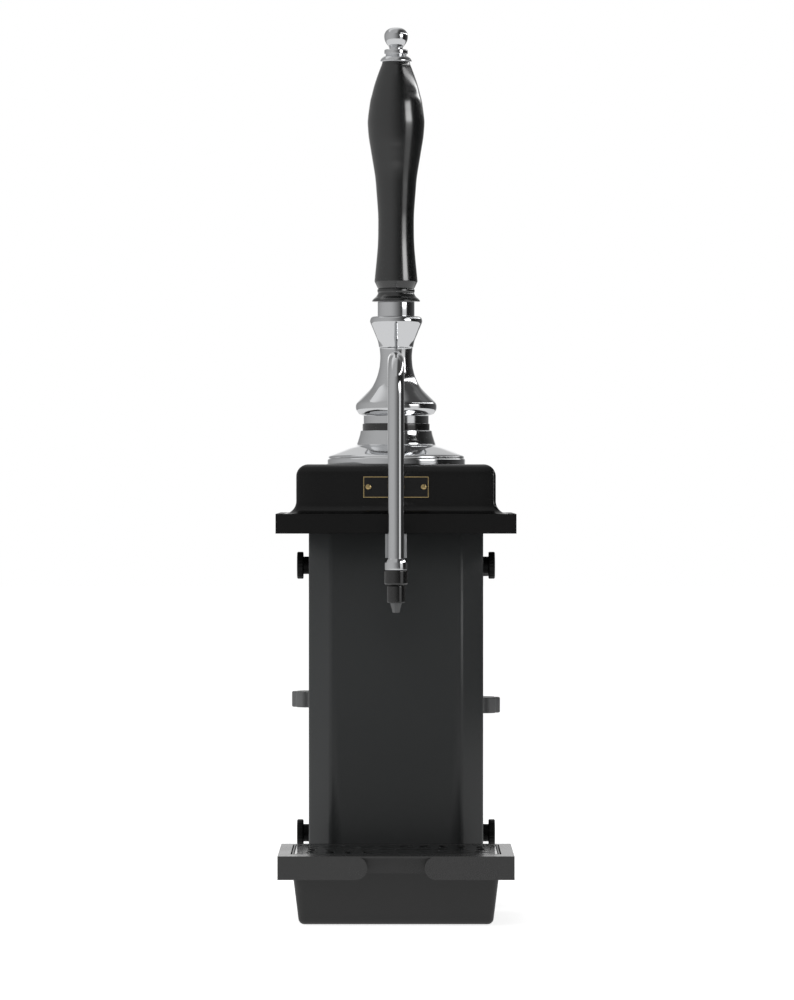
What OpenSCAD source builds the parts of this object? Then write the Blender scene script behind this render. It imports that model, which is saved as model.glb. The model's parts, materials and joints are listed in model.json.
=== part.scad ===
// Clamp-on hand pump beer engine: column, worktop board, casing, pillar, swan neck, rocking
// handle, cylinder pump and drip tray. Z is up, the front faces -Y, the pillar axis is X = Y = 0
// and the underside of the foot is Z = 0. All sizes are millimetres.

/* [Column] */
// Width of the sheet-metal column
column_w = 161; // [140:1:170]
// From the pillar axis to the column's front face
column_front = 64; // [62:1:70]
// From the pillar axis to the column's back face
column_back = 46; // [42:1:60]
// Width of the bent corners beside the front face
column_corner = 20; // [12:1:26]
// Thickness of the front cover's sheet
cover_t = 1.5; // [1:0.1:2]
// Thickness of the inner frame's sheet
frame_t = 2; // [1.5:0.1:3]
// Gap between the cover and the frame inside it
sheet_gap = 0.3; // [0.2:0.1:0.6]
// Thickness of the steel base plate
base_t = 4; // [3:0.5:6]
// Thickness of the rubber foot under the base plate
foot_t = 3; // [2:0.5:5]

/* [Worktop board and casing] */
// Height of the board's underside above the foot
board_z = 349; // [340:1:360]
// Width of the board
board_w = 220; // [212:1:240]
// Thickness of the board
board_t = 18; // [15:1:22]
// From the pillar axis to the board's front edge
board_front = 94; // [90:1:100]
// From the pillar axis to the board's back edge
board_back = 114; // [108:1:130]
// Width of the casing on the board
cowl_w = 183; // [170:1:186]
// Depth of the casing
cowl_d = 151; // [145:1:155]
// Height of the casing
cowl_h = 45.4; // [44:0.2:52]
// Wall of the casing
cowl_t = 2; // [1.5:0.1:2.4]
// Radius of the casing's top edge
cowl_top_r = 11; // [8:0.5:13]
// Radius of the hollow moulding at the casing's foot
cowl_foot_r = 11.5; // [8:0.5:12]
// Thickness of the steel plate under the board
top_plate_t = 4; // [3:0.5:6]
// Width of the name plate
plate_w = 60.7; // [50:0.1:70]
// Height of the name plate
plate_h = 20; // [16:0.5:24]
// Thickness of the name plate
plate_t = 1.2; // [0.8:0.1:1.5]

/* [Pillar] */
// Radius of the flange on the casing
flange_r = 64.4; // [60:0.2:70]
// Height of the flange and its neck
base_h = 31.4; // [28:0.2:34]
// Radius of the base's neck at its top
base_neck_r = 33.4; // [32.2:0.2:36]
// Radius of the black ring between base and pillar
ring_r = 31.4; // [30.8:0.1:32]
// Height of the black ring
ring_h = 6.5; // [4:0.5:9]
// Height of the pillar from the black ring to its rim
pillar_h = 70.2; // [68:0.2:72]
// Largest radius of the pillar's bell
bell_r = 37.9; // [36:0.1:40]
// Radius of the pillar's neck above the ring
pillar_neck_r = 30.5; // [29:0.1:31]
// Smallest radius of the pillar, where the swan neck leaves it
waist_r = 14.85; // [14.6:0.05:15.4]
// Bore down the pillar's waist
waist_bore_r = 11; // [10.8:0.1:11.6]

/* [Swan neck and spout] */
// Radius of the swan neck's tube
tube_r = 7.5; // [7:0.1:7.8]
// Wall of the swan neck's tube
tube_t = 1.5; // [1:0.1:1.6]
// From the pillar axis to the swan neck's upright run
tube_y = 140; // [130:1:150]
// Height of the level run below the handle's pivot
tube_drop = 29.5; // [29:0.5:30]
// Radius of the swan neck's bend, at the tube's centre
bend_r = 32; // [24:1:40]
// From the board's underside down to the foot of the spout's chrome collar
spout_drop = 32.3; // [27:0.1:39]
// Radius of the chrome collar
collar_r = 10.5; // [9.8:0.1:11]
// Height of the chrome collar
collar_h = 10.3; // [8:0.1:13]
// Radius of the ring nut under the collar
nut_r = 11; // [10.6:0.1:12]
// Height of the ring nut
nut_h = 13.7; // [10:0.1:16]
// Radius of the sparkler's sleeve
sleeve_r = 8.5; // [8:0.1:9]
// Length of the sleeve below the ring nut
sleeve_h = 15.9; // [12:0.1:20]
// Length of the sparkler's tip
tip_h = 9; // [7:0.5:12]
// Width of the steady bracket behind the spout
steady_w = 19.5; // [18:0.1:22]
// Length of the steady bracket below the board
steady_h = 21.5; // [16:0.5:21.5]

/* [Handle] */
// How far the handle pulls forward, in degrees
throw_deg = 45; // [30:1:45]
// Height of the handle's pivot above the pillar's rim
pivot_rise = 16.5; // [16.5:0.1:17]
// Radius of the ball face under the handle's cup
ball_r = 22.3; // [22:0.1:22.4]
// Radius of the cup level with the pivot
cup_r = 21.3; // [21:0.1:21.6]
// Largest radius of the cup's lip
lip_r = 24.3; // [23.5:0.1:25]
// Height of the cup above the pivot
cup_h = 13; // [12:0.1:15]
// Radius of the chrome rod under the handle
rod_r = 17.3; // [15:0.1:18]
// Height of the chrome rod
rod_h = 13.5; // [10:0.5:18]
// Height of the turned collar under the grip
grip_collar_h = 12.5; // [10:0.5:15]
// Largest radius of that collar
grip_collar_r = 22.4; // [20:0.1:24]
// Length of the grip
grip_h = 211; // [190:1:230]
// Radius of the grip at its belly
grip_belly_r = 26.6; // [25:0.1:29]
// Radius of the grip at its waist
grip_waist_r = 16.8; // [15:0.1:18]
// Height of the chrome ferrule on the grip
ferrule_h = 11.5; // [10:0.5:14]
// Radius of the ferrule's foot
ferrule_r = 14.7; // [13:0.1:15]
// Height of the finial
finial_h = 20.5; // [18:0.5:24]
// Radius of the finial's ball
finial_r = 11.1; // [10:0.1:12]
// Radius of the steel stud down the handle
stud_r = 5; // [4:0.5:6]

/* [Pump] */
// From the handle's pivot to its crank pin
crank_r = 13; // [12.8:0.1:13]
// From the rocker's fulcrum to the pull rod's pin
rocker_short = 12; // [12:0.5:13]
// From the rocker's fulcrum to the piston rod's pin
rocker_long = 36; // [34:0.5:36]
// Height of the fulcrum above the board
fulcrum_rise = 19; // [18:0.5:20]
// From the pillar axis back to the pull rod
pull_rod_y = 5.3; // [5.3:0.1:5.4]
// Radius of the pull rod
pull_rod_r = 3; // [2.8:0.1:3]
// Radius of the handle's crank pin
crank_pin_r = 2; // [1.8:0.1:2]
// Radius of the rocker's pins
pin_r = 2.5; // [2:0.1:2.5]
// Radius of the handle's pivot pin
pivot_r = 3; // [2.5:0.1:3]
// Thickness of the rocker beam
beam_t = 6; // [5:0.5:6]
// Bore radius of the cylinder
bore_r = 36; // [33:0.5:36]
// Wall of the cylinder
bore_wall = 2; // [1.5:0.5:2.5]
// Length of the cylinder between its caps
bore_h = 76; // [66:1:80]
// Height of the cylinder's bottom cap above the foot
cylinder_z = 150; // [140:1:160]
// Thickness of the cylinder's caps
cap_t = 12; // [10:1:14]
// Height of the piston
piston_h = 14; // [12:1:18]
// Radius of the piston rod
piston_rod_r = 5; // [4:0.5:5]
// Radius of the tie rods
tie_r = 3; // [2.5:0.5:4]
// Outer radius of the beer pipes
pipe_r = 4; // [3.5:0.1:4.2]
// Wall of the beer pipes
pipe_t = 1; // [0.7:0.1:1.2]
// Radius of the inlet stem behind the column
inlet_r = 4.75; // [4:0.05:6]
// Length of the inlet stem
inlet_l = 24; // [18:1:30]
// Height of the inlet above the foot
inlet_z = 84; // [78:1:90]

/* [Thumb screws] */
// Radius of the screws' discs
disc_r = 12.6; // [11:0.1:14]
// Thickness of the discs
disc_t = 5.9; // [4:0.1:7]
// Radius of the hubs
hub_r = 8.15; // [7:0.05:9]
// Thickness of the hubs
hub_t = 5.4; // [4:0.1:7]
// Radius of the threads
thumb_r = 3; // [2.5:0.5:4]
// From the pillar axis forward to the screws
thumb_y = 10; // [0:1:20]
// From the board's underside down to the upper screws
thumb_drop = 30.3; // [24:0.1:49]
// Height of the lower screws
thumb_low_z = 70.3; // [66:0.1:74]

/* [Drip tray] */
// Width of the tray holder
holder_w = 210.6; // [200:1:220]
// Depth of the tray holder
holder_d = 160; // [150:1:170]
// Height of the tray holder's top above the foot
holder_z = 64; // [63:0.5:68]
// Height of the holder's sides
holder_h = 21; // [19:0.5:24]
// Thickness of the holder's plates
holder_t = 2.5; // [2:0.5:3.5]
// Width of the opening for the tray
opening_w = 188.2; // [180:0.2:190]
// Depth of the holder's front band
front_band = 26; // [22:1:30]
// Depth of the holder's back band
back_band = 14; // [12:1:18]
// Width of the finger gap in the front
finger_w = 51; // [40:1:70]
// Gap round the drip basin
basin_gap = 1; // [0.8:0.1:2]
// Height of the basin's upright rim
basin_rim_h = 15; // [13:0.5:16]
// How much each side of the basin leans in below its rim
basin_lean = 5.4; // [4:0.1:7]
// Width of the seats that the basin's front and back rest on
seat_w = 3; // [2:0.5:4]
// Wall of the basin's rim
rim_t = 2.2; // [1.8:0.1:3]
// Width of the ledge under the grille
ledge_w = 1.6; // [1.4:0.1:2.4]
// Radius of the basin's bottom edge
basin_r = 5.5; // [4.5:0.5:8]
// Thickness of the basin's floor
basin_floor_t = 2.5; // [2:0.1:4]
// Thickness of the grille
grille_t = 4; // [3:0.5:5]

/* [Bar clamp] */
// From the pillar axis to each clamp screw, sideways
clamp_x = 73.5; // [70:0.5:74]
// From the pillar axis back to the clamp screws
clamp_y = 85; // [80:1:95]
// Height of the clamp arms' underside
arm_z = 232; // [232:1:240]
// Thickness of the clamp arms
arm_t = 18; // [14:1:22]
// Radius of the clamp screws
clamp_r = 6; // [5:0.5:6]
// Radius of the clamp knobs
knob_r = 25; // [22:0.5:27]
// Thickness of the clamp knobs
knob_t = 14.6; // [12:0.1:18]
// Height of the left knob's middle
knob_left_z = 190.5; // [186:0.5:192]
// Height of the right knob's middle
knob_right_z = 185; // [182:0.5:192]
// From a knob's middle to its pad's top
clamp_l = 130; // [124:0.5:131]
// Radius of the clamp pads
pad_r = 16; // [14:0.5:20]
// Thickness of the clamp pads
pad_t = 8; // [6:0.5:10]

/* [Hidden] */
$fn = 72;
fit = 0.05;       // running clearance between a pin or rod and its bore, on the radius
clear = 0.3;      // clearance between pieces that pass each other
slot_play = 0.3;  // play above and below a pin in its slot

// Levels up the object
base_z = foot_t;
frame_z = base_z + base_t;
thumb_top_z = board_z - thumb_drop;
collar_z = board_z - spout_drop;
cowl_z = board_z + board_t;
pillar_z = cowl_z + cowl_h;
ring_z = pillar_z + base_h;
body_z = ring_z + ring_h;
rim_z = body_z + pillar_h;
pivot_z = rim_z + pivot_rise;
cup_top_z = pivot_z + cup_h;
grip_collar_z = cup_top_z + rod_h;
grip_z = grip_collar_z + grip_collar_h;
ferrule_z = grip_z + grip_h;
finial_z = ferrule_z + ferrule_h;
tube_z = pivot_z - tube_drop;

// Handle's crank, at rest half a throw below level
half_throw = throw_deg / 2;
crank_y = crank_r * cos(half_throw);
crank_z = pivot_z - crank_r * sin(half_throw);
pull_travel = 2 * crank_r * sin(half_throw);

// Rocker, at rest with its long end down
rocker_deg = asin(pull_travel / 2 / rocker_short);
fulcrum_y = pull_rod_y + rocker_short * (1 + cos(rocker_deg)) / 2;
fulcrum_z = cowl_z + fulcrum_rise;
short_pin = [fulcrum_y - rocker_short * cos(rocker_deg), fulcrum_z - rocker_short * sin(rocker_deg)];
long_pin = [fulcrum_y - rocker_long * cos(rocker_deg), fulcrum_z - rocker_long * sin(rocker_deg)];
short_shift = rocker_short * (1 - cos(rocker_deg));
long_shift = rocker_long * (1 - cos(rocker_deg));
cylinder_y = fulcrum_y - rocker_long * (1 + cos(rocker_deg)) / 2;
beam_r = 6;
fork_wall = 3;
fork_x = beam_t / 2 + clear + 0.1;
fork_reach = 10.5;
fork_bridge = 5.5;

// Cylinder, up its axis
tube_seat = 4;
bore_z = cylinder_z + cap_t;
top_cap_z = bore_z + bore_h;
cap_half = bore_r + bore_wall + 2;
tie_at = cap_half - tie_r - 4;
piston_z = bore_z + 5;
port_r = 8;
delivery_x = 24;

// Column
cover_half = column_w / 2 - cover_t;
frame_half = cover_half - sheet_gap;
frame_front = 30;
cover_top = board_z - sheet_gap;

// Drip tray
holder_back = -column_front;
holder_front = holder_back - holder_d;
opening_half = opening_w / 2;
opening_front = holder_front + front_band;
opening_back = holder_back - back_band;
basin_half = opening_half - basin_gap;
basin_front = opening_front + basin_gap;
basin_back = opening_back - basin_gap;
basin_foot = 0.2;
holder_low = holder_z - holder_h;
seat_z = holder_z - basin_rim_h;
grille_z = holder_z - grille_t;

// --- Shared shapes ------------------------------------------------------------------------

function curve(a, b, c, d, t) =
  0.5 * (2 * b + (c - a) * t + (2 * a - 5 * b + 4 * c - d) * t * t
         + (3 * b - a - 3 * c + d) * t * t * t);

// A smooth line through the points p, with n steps between neighbours
function smooth(p, n = 4) = [
  for (i = [0 : len(p) - 2], k = [0 : n - 1])
    curve(p[max(i - 1, 0)], p[i], p[i + 1], p[min(i + 2, len(p) - 1)], k / n),
  p[len(p) - 1]
];

// Turns the outline p, a list of [radius, height], about the upright axis
module turned(p) {
  rotate_extrude($fn = 96) polygon(p);
}

// A rod along X, centred on x = 0
module rod_x(r, length) {
  rotate([0, 90, 0]) cylinder(r = r, h = length, center = true);
}

// A flat shape drawn in Y and Z, extruded along X from x0 to x1
module plate_yz(x0, x1) {
  translate([x0, 0, 0]) rotate([90, 0, 90]) linear_extrude(x1 - x0) children();
}

// A slot in Y and Z for a pin of radius r that wanders by shift along Y
module pin_slot(r, shift) {
  slot_shape(r + slot_play, shift);
}

module slot_shape(r, shift) {
  square([shift + 0.6, 2 * r], center = true);
  for (s = [-1, 1]) translate([s * (shift + 0.6) / 2, 0]) circle(r = r);
}

module box_at(x0, x1, y0, y1, z0, z1) {
  translate([x0, y0, z0]) cube([x1 - x0, y1 - y0, z1 - z0]);
}

// Outline of the column, drawn in by inset
module column_outline(inset, back) {
  half = column_w / 2 - inset;
  front = column_front - inset;
  corner = column_corner - 0.4142 * inset * 2 + inset;
  polygon([[-half, back], [-half, corner - front], [corner - half, -front],
           [half - corner, -front], [half, corner - front], [half, back]]);
}

// --- Column -------------------------------------------------------------------------------

module foot_pad() {
  color([0.09, 0.09, 0.09])
    linear_extrude(foot_t) column_outline(cover_t + 6, column_back - 8);
}

module base_plate() {
  color([0.5, 0.51, 0.52])
    translate([0, 0, base_z])
      linear_extrude(base_t) column_outline(cover_t + sheet_gap, column_back);
}

boss_t = 5;

module back_frame() {
  color([0.2, 0.2, 0.21])
    difference() {
      union() {
        box_at(-frame_half, frame_half, -frame_front, column_back, frame_z, board_z - top_plate_t);
        thumb_places() rod_x(thumb_r + 4, 2 * frame_half - 0.01);
      }
      difference() {
        box_at(frame_t - frame_half, frame_half - frame_t, -frame_front - 1,
               column_back - frame_t, frame_z - 1, board_z);
        for (s = [-1, 1])
          translate([s * (frame_half - (frame_t + boss_t) / 2), 0, 0])
            thumb_places() rod_x(thumb_r + 4, frame_t + boss_t);
      }
      thumb_places() rod_x(thumb_r + fit, column_w);
      translate([0, column_back, inlet_z]) rotate([90, 0, 0])
        cylinder(r = inlet_r + 3 + fit, h = 4 * frame_t, center = true);
    }
}

// Repeats what follows at the height of each pair of thumb screws
module thumb_places() {
  for (z = [thumb_low_z, thumb_top_z]) translate([0, -thumb_y, z]) children();
}

module column_cover() {
  color([0.17, 0.18, 0.18])
    difference() {
      translate([0, 0, base_z]) linear_extrude(cover_top - base_z)
        difference() {
          column_outline(0, column_back);
          column_outline(cover_t, column_back + 1);
        }
      thumb_places() rod_x(thumb_r + clear, column_w + 2);
      holder_bolt_places() translate([0, 5, 0]) rotate([90, 0, 0])
        cylinder(r = bolt_r + fit, h = 10);
    }
}

// A turned screw whose head stands on the column's side
module thumb_screw(side, z) {
  color([0.07, 0.07, 0.07])
    translate([side * column_w / 2, -thumb_y, z]) rotate([0, side * 90, 0]) {
      turned([[0, -9 - cover_t], [thumb_r, -9 - cover_t], [thumb_r, 0], [hub_r, 0],
              [hub_r, hub_t], [disc_r - 0.6, hub_t], [disc_r, hub_t + 0.6],
              [disc_r, hub_t + disc_t - 0.8], [disc_r - 0.8, hub_t + disc_t],
              [0, hub_t + disc_t]]);
    }
}

module thumb_screw_left_upper() { thumb_screw(-1, thumb_top_z); }
module thumb_screw_left_lower() { thumb_screw(-1, thumb_low_z); }
module thumb_screw_right_upper() { thumb_screw(1, thumb_top_z); }
module thumb_screw_right_lower() { thumb_screw(1, thumb_low_z); }

// --- Board and casing -----------------------------------------------------------------------

stud_at = 38.5;
well_x = 12;
well_front = cylinder_y - 14;
well_back = 1;

// Openings in the board and the plate below it, for the rods and pipe
module well(z0, z1) {
  box_at(-well_x, well_x, well_front, well_back, z0, z1);
  translate([delivery_x, cylinder_y, z0]) cylinder(r = pipe_r + clear, h = z1 - z0);
  stud_places() translate([0, 0, z0]) cylinder(r = 3 + fit, h = z1 - z0);
}

module stud_places() {
  for (x = [-stud_at, stud_at], y = [-stud_at, stud_at]) translate([x, y, 0]) children();
}

module top_plate() {
  color([0.5, 0.51, 0.52])
    difference() {
      translate([0, 0, board_z - top_plate_t])
        linear_extrude(top_plate_t) column_outline(cover_t + sheet_gap, column_back);
      well(board_z - top_plate_t - 1, board_z + 1);
      tie_places() translate([0, 0, board_z - top_plate_t - 1])
        cylinder(r = tie_r, h = top_plate_t + 2);
    }
}

module board() {
  color([0.08, 0.08, 0.08])
    difference() {
      box_at(-board_w / 2, board_w / 2, -board_front, board_back, board_z, cowl_z);
      well(board_z - 1, cowl_z + 1);
    }
}

// Outline of the casing over a width w: round shoulders and a hollow moulding at the foot
module cowl_outline(w) {
  r = cowl_top_r;
  f = cowl_foot_r;
  translate([-w / 2, 0]) square([w, cowl_h - r]);
  translate([r - w / 2, 0]) square([w - 2 * r, cowl_h]);
  for (s = [-1, 1]) {
    translate([s * (w / 2 - r), cowl_h - r]) circle(r = r);
    difference() {
      translate([s > 0 ? w / 2 - 1 : -w / 2 - f, 0]) square([f + 1, f]);
      translate([s * (w / 2 + f), f]) circle(r = f);
    }
  }
}

module cowl() {
  inner_top = cowl_z + cowl_h - cowl_t;
  color([0.06, 0.06, 0.06])
    difference() {
      intersection() {
        translate([0, 150, cowl_z]) rotate([90, 0, 0]) linear_extrude(300) cowl_outline(cowl_w);
        translate([-150, 0, cowl_z]) rotate([90, 0, 90]) linear_extrude(300) cowl_outline(cowl_d);
      }
      box_at(2 * cowl_t - cowl_w / 2, cowl_w / 2 - 2 * cowl_t, 2 * cowl_t - cowl_d / 2,
             cowl_d / 2 - 2 * cowl_t, cowl_z - 1, inner_top - 5);
      box_at(cowl_top_r - cowl_w / 2, cowl_w / 2 - cowl_top_r, cowl_top_r - cowl_d / 2,
             cowl_d / 2 - cowl_top_r, cowl_z, inner_top);
      translate([0, 0, cowl_z]) cylinder(r = base_bore_r, h = cowl_h + 1);
      stud_places() translate([0, 0, cowl_z]) cylinder(r = 3 + fit, h = cowl_h + 1);
    }
}

plate_z = cowl_z + 24.5;
rivet_x = plate_w / 2 - 5;
rivet_r = 2.75;

module name_plate() {
  color([0.05, 0.05, 0.05])
    translate([0, -cowl_d / 2, plate_z]) rotate([90, 0, 0])
      difference() {
        linear_extrude(plate_t) square([plate_w, plate_h], center = true);
        translate([0, 0, plate_t - 0.25]) linear_extrude(1)
          difference() {
            square([plate_w - 2, plate_h - 2], center = true);
            square([plate_w - 3.2, plate_h - 3.2], center = true);
          }
        for (s = [-1, 1]) translate([s * rivet_x, 0, -1]) cylinder(r = 1.2, h = plate_t + 2);
      }
}

module plate_rivets() {
  color([0.78, 0.6, 0.28])
    for (s = [-1, 1])
      translate([s * rivet_x, -cowl_d / 2 - plate_t, plate_z]) rotate([90, 0, 0])
        turned([[0, -plate_t], [1.2, -plate_t], [1.2, 0], [rivet_r, 0], [rivet_r - 0.2, 0.5],
                [rivet_r - 0.9, 0.95], [1, 1.15], [0, 1.2]]);
}

// --- Pillar ---------------------------------------------------------------------------------

base_bore_r = 28;

module pillar_base() {
  outer = smooth([[flange_r, 0], [flange_r, 4.2], [flange_r - 1, 5.8], [flange_r - 2.6, 8.6],
                  [base_neck_r + 13.6, 14.6], [base_neck_r + 4.6, 17.6],
                  [base_neck_r + 3.1, 20], [base_neck_r + 1.8, 24],
                  [base_neck_r + 0.6, 28], [base_neck_r, base_h]], 3);
  color([0.76, 0.77, 0.78])
    translate([0, 0, pillar_z])
      difference() {
        turned(concat([[base_bore_r, 0]], outer, [[base_bore_r - 2, base_h], [base_bore_r - 2, 12],
                                                  [base_bore_r, 8]]));
        stud_places() translate([0, 0, -1]) cylinder(r = 3, h = 7);
      }
}

module pillar_ring() {
  color([0.05, 0.05, 0.05])
    translate([0, 0, ring_z])
      turned([[base_bore_r - 2, 0], [ring_r, 0], [ring_r, ring_h], [base_bore_r - 2, ring_h]]);
}

// The bell's side up to the rim: shares of the step from waist to bell, and of the height
bell_line = [[0.8785, 0.1282], [0.9826, 0.1809], [1, 0.2336], [0.9826, 0.2607], [0.9349, 0.2877],
  [0.7874, 0.3376], [0.6095, 0.3946], [0.4534, 0.4459], [0.3297, 0.4943], [0.2299, 0.5513],
  [0.1518, 0.6083], [0.0998, 0.6581], [0.0607, 0.708], [0.026, 0.765], [0, 0.8832],
  [0.0217, 0.9786], [0.0369, 1]];
pillar_neck_h = 7.2;
cone_low = 22;
cone_top = 38;

module pillar_body() {
  outer = smooth([for (p = bell_line) [waist_r + p[0] * (bell_r - waist_r), p[1] * pillar_h]], 3);
  color([0.76, 0.77, 0.78])
    difference() {
      translate([0, 0, body_z])
        turned(concat([[base_bore_r - 2, 0], [pillar_neck_r, 0], [pillar_neck_r, pillar_neck_h]],
                      outer, [[waist_bore_r, pillar_h], [waist_bore_r, cone_top],
                              [base_bore_r - 4, cone_low]]));
      translate([0, 0, pivot_z]) sphere(r = ball_r + clear, $fn = 96);
      translate([0, 0, tube_z]) rotate([90, 0, 0]) cylinder(r = tube_r, h = 60);
    }
}

// Long studs that clamp the pillar, casing, board and top plate together
module pillar_studs() {
  low = board_z - top_plate_t;
  color([0.6, 0.61, 0.62])
    stud_places() {
      translate([0, 0, low - 10]) cylinder(r = 3, h = pillar_z + 5 - low + 10);
      translate([0, 0, low - 5]) cylinder(r = 5.7, h = 5, $fn = 6);
    }
}

// --- Swan neck and spout ----------------------------------------------------------------------

// The swan neck as a solid rod of radius r
module swan_path(r, inner_end, low_end) {
  level = tube_y - bend_r;
  translate([0, inner_end, tube_z]) rotate([90, 0, 0]) cylinder(r = r, h = level + inner_end);
  translate([0, -level, tube_z - bend_r]) rotate([90, 0, -90])
    rotate_extrude(angle = 90, $fn = 96) translate([bend_r, 0]) circle(r = r);
  translate([0, -tube_y, low_end]) cylinder(r = r, h = tube_z - bend_r - low_end);
}

module swan_neck() {
  color([0.76, 0.77, 0.78])
    difference() {
      swan_path(tube_r, -waist_bore_r + 0.8, collar_z + 1);
      swan_path(tube_r - tube_t, -waist_bore_r + 1.8, collar_z);
    }
}

module spout_collar() {
  color([0.78, 0.79, 0.8])
    translate([0, -tube_y, collar_z])
      turned([[tube_r - tube_t, 1], [tube_r - tube_t, -nut_h + 3], [thread_r, -nut_h + 3],
              [thread_r, 0], [collar_r - 0.3, 0], [collar_r, 0.3], [collar_r, collar_h - 3.7],
              [collar_r - 1, collar_h - 2], [tube_r + 0.9, collar_h], [tube_r, collar_h],
              [tube_r, 1]]);
}

thread_r = 8;

// A strip under the board that turns down behind the spout and steadies it
module steady_bracket() {
  t = 2;
  y1 = -tube_y + tube_r + clear;
  color([0.62, 0.63, 0.64]) {
    box_at(-steady_w / 2, steady_w / 2, y1, 6 - board_front, board_z - t, board_z);
    box_at(-steady_w / 2, steady_w / 2, y1, y1 + t, board_z - steady_h, board_z);
    box_at(-steady_w / 2, steady_w / 2, 5.9 - board_front, 24 - board_front, board_z - t, board_z);
  }
}

module sparkler_nut() {
  b = 1.6;
  color([0.07, 0.07, 0.07])
    translate([0, -tube_y, collar_z - nut_h])
      turned([[sleeve_r - 2, 0], [nut_r - b, 0], [nut_r - 0.4, 0.6], [nut_r, b],
              [nut_r, nut_h - 1.1], [nut_r - 0.5, nut_h - clear], [thread_r + fit, nut_h - clear],
              [thread_r + fit, 2], [sleeve_r - 2, 2]]);
}

module sparkler_sleeve() {
  color([0.08, 0.08, 0.08])
    translate([0, -tube_y, collar_z - nut_h - sleeve_h])
      turned([[3, 0], [sleeve_r - 0.4, 0], [sleeve_r, 0.5], [sleeve_r, sleeve_h - 1.2],
              [sleeve_r - 0.8, sleeve_h], [4.5, sleeve_h], [4.5, 3], [3, 3]]);
}

module sparkler_tip() {
  color([0.4, 0.41, 0.42])
    translate([0, -tube_y, collar_z - nut_h - sleeve_h - tip_h])
      turned([[2, 0], [3.3, 0], [4.2, 4], [5.4, tip_h], [3, tip_h], [3, tip_h + 3],
              [2, tip_h + 3]]);
}

// Beer pipe from the cylinder's top cap, offset by two bends, up to the swan neck. Its straight
// runs are a hair thicker than its bends and lap into them.
pipe_y = 1 - waist_bore_r + pipe_r;

module pipe_run(r, bottom, level_r, level_end) {
  bend = 16;
  low = [delivery_x, cylinder_y, fulcrum_z + 9];
  high = [0, pipe_y, body_z + 10];
  run = high - low;
  side = norm([run[0], run[1]]);
  tilt = atan2(side, run[2]);
  cut = bend * tan(tilt / 2);
  lap = 0.5;
  thick = r + 0.06;
  translate([low[0], low[1], 0]) rotate([0, 0, atan2(run[1], run[0])]) {
    translate([0, 0, bottom]) cylinder(r = thick, h = low[2] - cut - bottom + lap);
    translate([bend, 0, low[2] - cut]) rotate([90, 0, 0]) rotate([0, 0, 180 - tilt])
      rotate_extrude(angle = tilt, $fn = 96) translate([bend, 0]) circle(r = r);
    translate([cut * sin(tilt), 0, low[2] + cut * cos(tilt)]) rotate([0, tilt, 0])
      translate([0, 0, -lap]) cylinder(r = thick, h = norm(run) - 2 * cut + 2 * lap);
    translate([side - bend, 0, high[2] + cut]) rotate([90, 0, 0]) rotate([0, 0, -tilt])
      rotate_extrude(angle = tilt, $fn = 96) translate([bend, 0]) circle(r = r);
    translate([side, 0, high[2] + cut - lap]) cylinder(r = thick, h = tube_z - high[2] - cut + lap);
  }
  translate([0, pipe_y + level_r - 1.5, tube_z]) rotate([90, 0, 0])
    cylinder(r = level_r, h = level_end + level_r - 1.5);
}

module delivery_pipe() {
  low = top_cap_z + cap_t;
  color([0.72, 0.45, 0.26])
    difference() {
      union() {
        pipe_run(pipe_r, low, tube_r - tube_t - 0.01, 8);
        translate([delivery_x, cylinder_y, low]) cylinder(r = pipe_r + 2, h = 6);
      }
      pipe_run(pipe_r - pipe_t, low - 1, pipe_r - pipe_t + 0.4, 9);
    }
}

// --- Handle and its pivot -----------------------------------------------------------------------

cheek_in = 3.6;
cheek_out = 6.6;
pocket_r = 17;
pocket_x = cheek_out + 0.6;
pocket_top = 7;
plug_front = 0;
lean = pull_rod_y - pull_rod_r;

// A plug in the pillar's bore with two cheeks that hold the pivot pin
module pivot_fork() {
  plug_h = 26;
  color([0.55, 0.56, 0.58])
    difference() {
      union() {
        translate([0, 0, rim_z - 6.5 - plug_h]) difference() {
          cylinder(r = waist_bore_r, h = plug_h);
          box_at(-20, 20, -20, plug_front, -1, plug_h + 1);
        }
        for (s = [-1, 1])
          translate([0, 0, pivot_z])
            plate_yz(s > 0 ? cheek_in : -cheek_out, s > 0 ? cheek_out : -cheek_in) {
              circle(r = 6);
              polygon([[lean + 0.2, -23.1], [8, -23.1], [8, -17], [6, 0], [-6, 0], [-3, -12],
                       [lean + 0.2, -17]]);
            }
      }
      translate([0, pull_rod_y, body_z]) cylinder(r = pull_rod_r + fit, h = pivot_z - body_z);
      translate([0, 0, pivot_z]) rod_x(pivot_r, 60);
    }
}

module pivot_pin() {
  color([0.66, 0.67, 0.68])
    translate([0, 0, pivot_z]) rod_x(pivot_r, 2 * cup_r - 3.4);
}

eye_r = crank_pin_r + slot_play + 1.6;
crank_pin_l = 24;

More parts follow.
